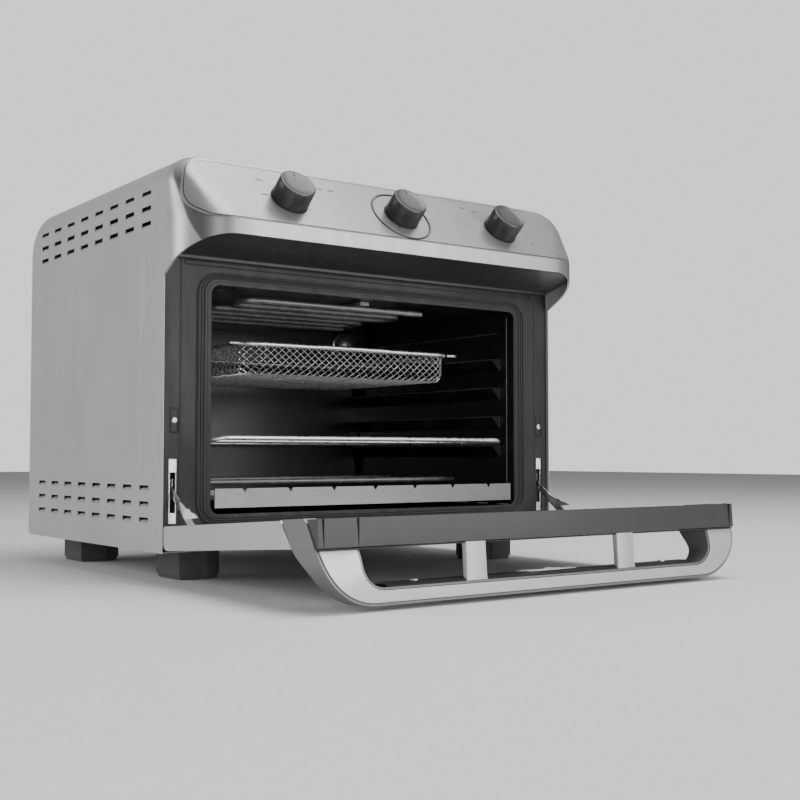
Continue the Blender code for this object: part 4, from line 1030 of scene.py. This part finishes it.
def build_frame_details():
    """Seal lips, flange, joint lines, painted shade round the long pressed groove, latches and screws on the front
    frame.
    """
    band("seal_base", mouth(0.2262, 0.0252, 0.2892, 0.024), mouth(0.2140, 0.0330, 0.2800, 0.014), FRAME - 0.0007,
         FRAME - 0.0002, BLACK, ("door_gasket",))
    lips = ((0.2240, 0.0272, 0.2872, 0.0222, 0.0013), (0.2204, 0.0295, 0.2849, 0.0192, 0.0009),
            (0.2170, 0.0318, 0.2826, 0.0165, 0.0011))
    for k, (*size, wire) in enumerate(lips):
        loop = [at(x, FRAME - 0.0009, z) for x, z in mouth(*size)]
        finish(sweep(f"seal_lip_{k}", loop, wire, 10, True), SEAL, OVEN, angle=60.0)
    band("mouth_flange", mouth(0.2138, 0.0334, 0.2798, 0.0135), mouth(0.2091, 0.0376, 0.2757, 0.0100),
         FRAME - 0.0008, FRAME + 0.0002, FLANGE, ("liner_flange",), 0.0003)
    # Painted shade: a black loop round the long pressed groove, where its edges lie in shade; the upright joint lines
    # and latch outlines are dark joints.
    lines = [[at(x, FRAME - 0.0001, z) for x, z in rounded(-0.2398, 0.2358, 0.2947, 0.2993, 0.0022, 5)]]
    for side in (-1, 1):
        mid = side * 0.2436
        lines.append([at(x, FRAME, z) for x, z in box_outline(mid - 0.0003, mid + 0.0003, 0.0290, 0.3020)])
        mid = side * 0.2500
        latch = rounded(mid - 0.0042, mid + 0.0042, 0.1220, 0.1460, 0.0010, 2)
        lines.append([at(x, FRAME - 0.0001, z) for x, z in latch])
    dark_lines = [sweep(f"frame_dark_line_{i}", line, 0.00075, 6, True) for i, line in enumerate(lines)]
    finish(joined("frame_joints_and_groove_shade", dark_lines), BLACK, OVEN, angle=60.0)
    for word, side in (("left", -1), ("right", 1)):
        for k, (x, z, size, material) in enumerate(((0.2500, 0.1340, 1.0, ZINC), (0.2300, 0.3000, 0.55, DARK))):
            profile = [(0.0, 0.0003), (0.0012, 0.0004), (0.0013, 0.0009), (0.0026 * size, 0.0010),
                       (0.0032 * size, 0.0006), (0.0034 * size, 0.0)]
            head = lathe(f"frame_screw_{k}_{word}", profile, at(side * x, FRAME, z), FORWARD, 28)
            finish(head, material, OVEN, angle=40.0)
    strip = prism("soffit_closing_strip", box_outline(-0.0005, 0.0044, 0.3005, 0.3190), -0.2600, 0.2600,
                  lambda a, b, d: at(d, a, b))
    finish(strip, SOFFIT, OVEN)


def screw(name, centre, axis, r):
    """A pan head with a stepped recess."""
    profile = [(0.0, r * 0.12), (r * 0.28, r * 0.14), (r * 0.34, r * 0.34), (r * 0.75, r * 0.36),
               (r * 0.95, r * 0.22), (r, 0.0)]
    finish(lathe(name, profile, centre, axis, 24), ZINC, OVEN, angle=40.0)


def build_hardware():
    """Screws on the back and base, ribbed feet, and light rods on the cavity's side walls: painted highlights along
    the ledge tops and the crease, and an upright rod near each wall's front.
    """
    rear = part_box("back_panel")[1].y
    for i, (x, z) in enumerate(((-0.240, 0.020), (0.0, 0.012), (0.240, 0.020), (-0.240, 0.200), (0.240, 0.200),
                                (-0.235, 0.372), (-0.080, 0.380), (0.080, 0.380), (0.235, 0.372))):
        screw(f"rear_screw_{i}", Vector((x, rear - 0.0002, Z0 + z)), (0, 1, 0), 0.0034)
    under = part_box("base_panel")[0].z
    for i, (x, y) in enumerate(((-0.150, 0.030), (0.150, 0.030), (-0.150, 0.370), (0.150, 0.370), (0.0, 0.200),
                                (-0.245, 0.196), (0.245, 0.196))):
        screw(f"base_screw_{i}", Vector((x, Y0 + y, under + 0.0002)), (0, 0, -1), 0.0036)
    for word in ("front_left", "front_right", "rear_left", "rear_right"):
        low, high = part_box("foot_" + word)
        side = -1 if "left" in word else 1
        flat = low.x if side < 0 else high.x
        mid_y, half = (low.y + high.y) / 2, (high.y - low.y) / 2 - 0.0002
        centre = flat - side * ((high.x - low.x) - half - 0.0004)
        outline = [(flat - side * 0.0004, mid_y - half + 0.002), (flat - side * 0.0004, mid_y + half - 0.002)]
        steps = 96
        for i in range(steps + 1):
            a = math.radians(90 - 180 * i / steps)
            r = half - 0.0007 * (0.5 + 0.5 * math.cos(i * math.pi / 4))
            outline.append((centre - side * r * math.cos(a), mid_y + r * math.sin(a)))
        for name, grow, z0, z1 in (("ribs", 1.0, low.z + 0.0035, high.z), ("pad", 0.94, low.z, low.z + 0.0036)):
            shape = [(centre + (x - centre) * grow, mid_y + (y - mid_y) * grow) for x, y in outline]
            foot = prism(f"foot_{name}_{word}", shape, z0, z1, lambda a, b, d: Vector((a, b, d)))
            finish(foot, FOOT, OVEN, ("foot_" + word,) if name == "ribs" else (), 0.0004, 40.0)
    # Painted highlights: lighter rods along the four ledge tops and along the real crease, where light catches them;
    # one more stands upright near each wall's front.
    highlight_rods = []
    for side in (-1, 1):
        for x, y, z, far_y, far_z, r in [(0.1972, 0.0330, top - 0.0006, 0.3445, top - 0.0006, 0.0006)
                                         for top in (0.111, 0.147, 0.183, 0.219)] + [
                (0.2088, 0.036, 0.2520, 0.340, 0.2520, 0.0008), (0.2089, 0.0180, 0.0420, 0.0180, 0.2700, 0.0006)]:
            highlight_rods.append(sweep("highlight_rod", [at(side * x, y, z), at(side * x, far_y, far_z)], r, 8))
    finish(joined("cavity_highlight_rods", highlight_rods), HEATER, OVEN, angle=60.0)


ARM_PLATE = [(-0.0590, 0.0838), (-0.0660, 0.0800), (-0.0753, 0.0762), (-0.0790, 0.0768), (-0.0840, 0.0735),
             (-0.0925, 0.0722), (-0.0960, 0.0702), (-0.0980, 0.0696), (-0.0975, 0.0686), (-0.0720, 0.0660),
             (-0.0640, 0.0720), (-0.0590, 0.0810)]


def build_hinge_details():
    """Zinc end pieces, the rollers and links in the hinge slots, and the quadrant on each arm."""
    for word, side in (("left", -1), ("right", 1)):
        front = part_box("hinge_plate_" + word)[0].y
        arm_low, arm_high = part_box("hinge_arm_" + word)
        mid = side * 0.2507
        cap = prism("hinge_cap_" + word, box_outline(mid - 0.0046, mid + 0.0046, 0.1120, 0.1255), front - 0.0003,
                    front + 0.0020, lambda a, b, d: Vector((a, d, b)))
        finish(cap, BRIGHT, OVEN, bevel=0.0005)
        for k, (z, r, depth) in enumerate(((0.1030, 0.0042, 0.006), (0.0860, 0.0030, 0.008))):
            profile = [(0.0, 0.0), (r * 0.5, 0.0), (r * 0.6, 0.0003), (r, 0.0005), (r, 0.0017), (r * 0.6, 0.0019),
                       (r * 0.5, 0.0022), (0.0, 0.0022)]
            centre = (arm_low.x - 0.0028, front + depth, z)
            finish(lathe(f"hinge_roller_{k}_{word}", profile, centre, (1, 0, 0), 32), ZINC, OVEN, angle=40.0)
        outline = [(front + y, z) for y, z in ((0.004, 0.106), (0.012, 0.104), (0.011, 0.083), (0.004, 0.086))]
        link = prism("hinge_link_" + word, outline, mid + 0.0016, mid + 0.0026, sideways)
        finish(link, ZINC, OVEN, bevel=0.0003)
        plate = prism("arm_quadrant_" + word, ARM_PLATE, arm_low.x - 0.0001, arm_high.x + 0.0001, sideways)
        finish(plate, BRIGHT, "hinge_arm_" + word, bevel=0.0004)


def build_trim_details():
    """Seams of the profile along the door's upper edge, and painted shade: a black line along its lower edge, under
    the overhang.
    """
    low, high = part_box("door_top_trim")
    outline = box_outline(low.y - 0.00015, low.y + 0.0100, low.z + 0.0012, high.z + 0.00015)
    for name, x in (("trim_seam_0_left", 0.0055 - high.x), ("trim_seam_1_left", 0.0400 - high.x),
                    ("trim_seam_0_right", high.x - 0.0060)):
        finish(prism(name, outline, x - 0.0003, x + 0.0003, sideways), BLACK, DOOR_BODY)
    # Painted shade: a thin black strip along the trim's lower edge, where it overhangs.
    outline = box_outline(low.y + 0.0006, low.y + 0.0080, low.z - 0.0006, low.z + 0.0004)
    line = prism("trim_lower_shade_line", outline, 0.001 - high.x, high.x - 0.001, sideways)
    finish(line, BLACK, DOOR_BODY, bevel=0.0002)


build_cabinet()
build_fascia()
plate_skin("fascia_plate", 0.3337, 0.4010, 0.0, 0.0006, 0.0010, PLATE)
# Painted shade: a black facing between plate and inlay, for the shade in the plate's groove.
plate_skin("fascia_groove_shade", 0.3343, 0.3996, 0.0026, 0.0008, 0.0006, BLACK)
plate_skin("fascia_inlay", 0.3347, 0.3989, 0.0036, 0.0010, 0.0008, PLATE, ("control_plate",))
build_print(build_knobs())
build_handle()
build_basket()
build_rack()
build_heaters()
build_frame_details()
build_hinge_details()
build_trim_details()
build_hardware()

# ---- the rest of the solids, softened ----
PLAIN = [
    ("base_panel", ZINC, 0.0), ("back_panel", PANEL, 0.0), ("cord_gland", BLACK, 0.0006),
    ("front_frame", DARK, 0.0004), ("liner_floor", ENAMEL, 0.0), ("liner_ceiling", ENAMEL, 0.0),
    ("liner_left", ENAMEL, 0.0005), ("liner_right", ENAMEL, 0.0005), ("liner_back", ENAMEL, 0.0),
    ("heater_hanger", HEATER, 0.0003), ("lamp_holder", BLACK, 0.0004), ("fan_rotor", ZINC, 0.0),
    ("fan_motor", ZINC, 0.0005), ("motor_bridge", ZINC, 0.0), ("crumb_tray", TRAY, 0.0004),
    ("control_bracket", ZINC, 0.0), ("soffit_panel", SOFFIT, 0.0), ("door_frame", LIGHT, 0.0022),
    ("door_inner_glass", GLASS, 0.0003), ("door_outer_glass", GLASS, 0.0003), ("door_top_trim", TRIM, 0.0008),
]
for word in ("thermostat", "selector", "timer"):
    PLAIN += [(word + "_shaft", ZINC, 0.0), (word + "_body", BLACK, 0.0006)]
for word in ("left", "right"):
    PLAIN += [(stem + word, ZINC, bevel) for stem, bevel in (
        ("hinge_arm_", 0.0003), ("hinge_bracket_", 0.0003), ("hinge_plate_", 0.0002), ("arm_pin_", 0.0),
        ("hinge_pin_", 0.0))]
for node, material, bevel in PLAIN:
    refined(node, node + "_finished", material, bevel)

# ---- floor, light, camera ----
floor = piece("studio_floor", [(x, y, -0.0005) for x, y in box_outline(-6, 6, -6, 8)], [(0, 1, 2, 3)])
floor.data.materials.append(painted("floor_paint", 0.80, 0.7, grain=60.0, depth=0.00002, mottle=0.01, tint=0.0))


def lamp(name, place, target, size, power):
    light = bpy.data.lights.new(name, "AREA")
    light.energy = power
    light.size = size
    made = bpy.data.objects.new(name, light)
    made.location = place
    made.rotation_euler = (Vector(target) - Vector(place)).to_track_quat("-Z", "Y").to_euler()
    bpy.context.scene.collection.objects.link(made)


CENTRE = (0.0, 0.0, 0.22)
lamp("key", (0.5, -0.5, 2.5), CENTRE, 1.7, 60.0)
lamp("front", (1.1, -2.4, 0.9), CENTRE, 1.5, 34.0)
lamp("side", (-2.5, 1.3, 0.9), CENTRE, 1.5, 34.0)
lamp("fill", (-1.0, -1.8, 0.35), (0.05, 0.1, 0.16), 0.6, 10.0)
world = bpy.data.worlds.new("studio")
bpy.context.scene.world = world
world.use_nodes = True
sky = world.node_tree
room = sky.nodes["Background"]
backdrop = sky.nodes.new("ShaderNodeBackground")
for shade, strength in ((room, 0.28), (backdrop, 1.25)):
    shade.inputs["Color"].default_value = (0.9, 0.9, 0.9, 1.0)
    shade.inputs["Strength"].default_value = strength
seen = sky.nodes.new("ShaderNodeLightPath")
blend = sky.nodes.new("ShaderNodeMixShader")
sky.links.new(seen.outputs["Is Camera Ray"], blend.inputs["Fac"])
sky.links.new(room.outputs["Background"], blend.inputs[1])
sky.links.new(backdrop.outputs["Background"], blend.inputs[2])
sky.links.new(blend.outputs["Shader"], sky.nodes["World Output"].inputs["Surface"])

camera_data = bpy.data.cameras.new("camera")
camera_data.lens = 54.18
camera_data.sensor_width = 36.0
camera = bpy.data.objects.new("camera", camera_data)
camera.location = (-0.7883, -1.16125, 0.1302)
camera.rotation_euler = (math.radians(90 + 2.598), 0.0, -math.radians(36.337))
bpy.context.scene.collection.objects.link(camera)
bpy.context.scene.camera = camera
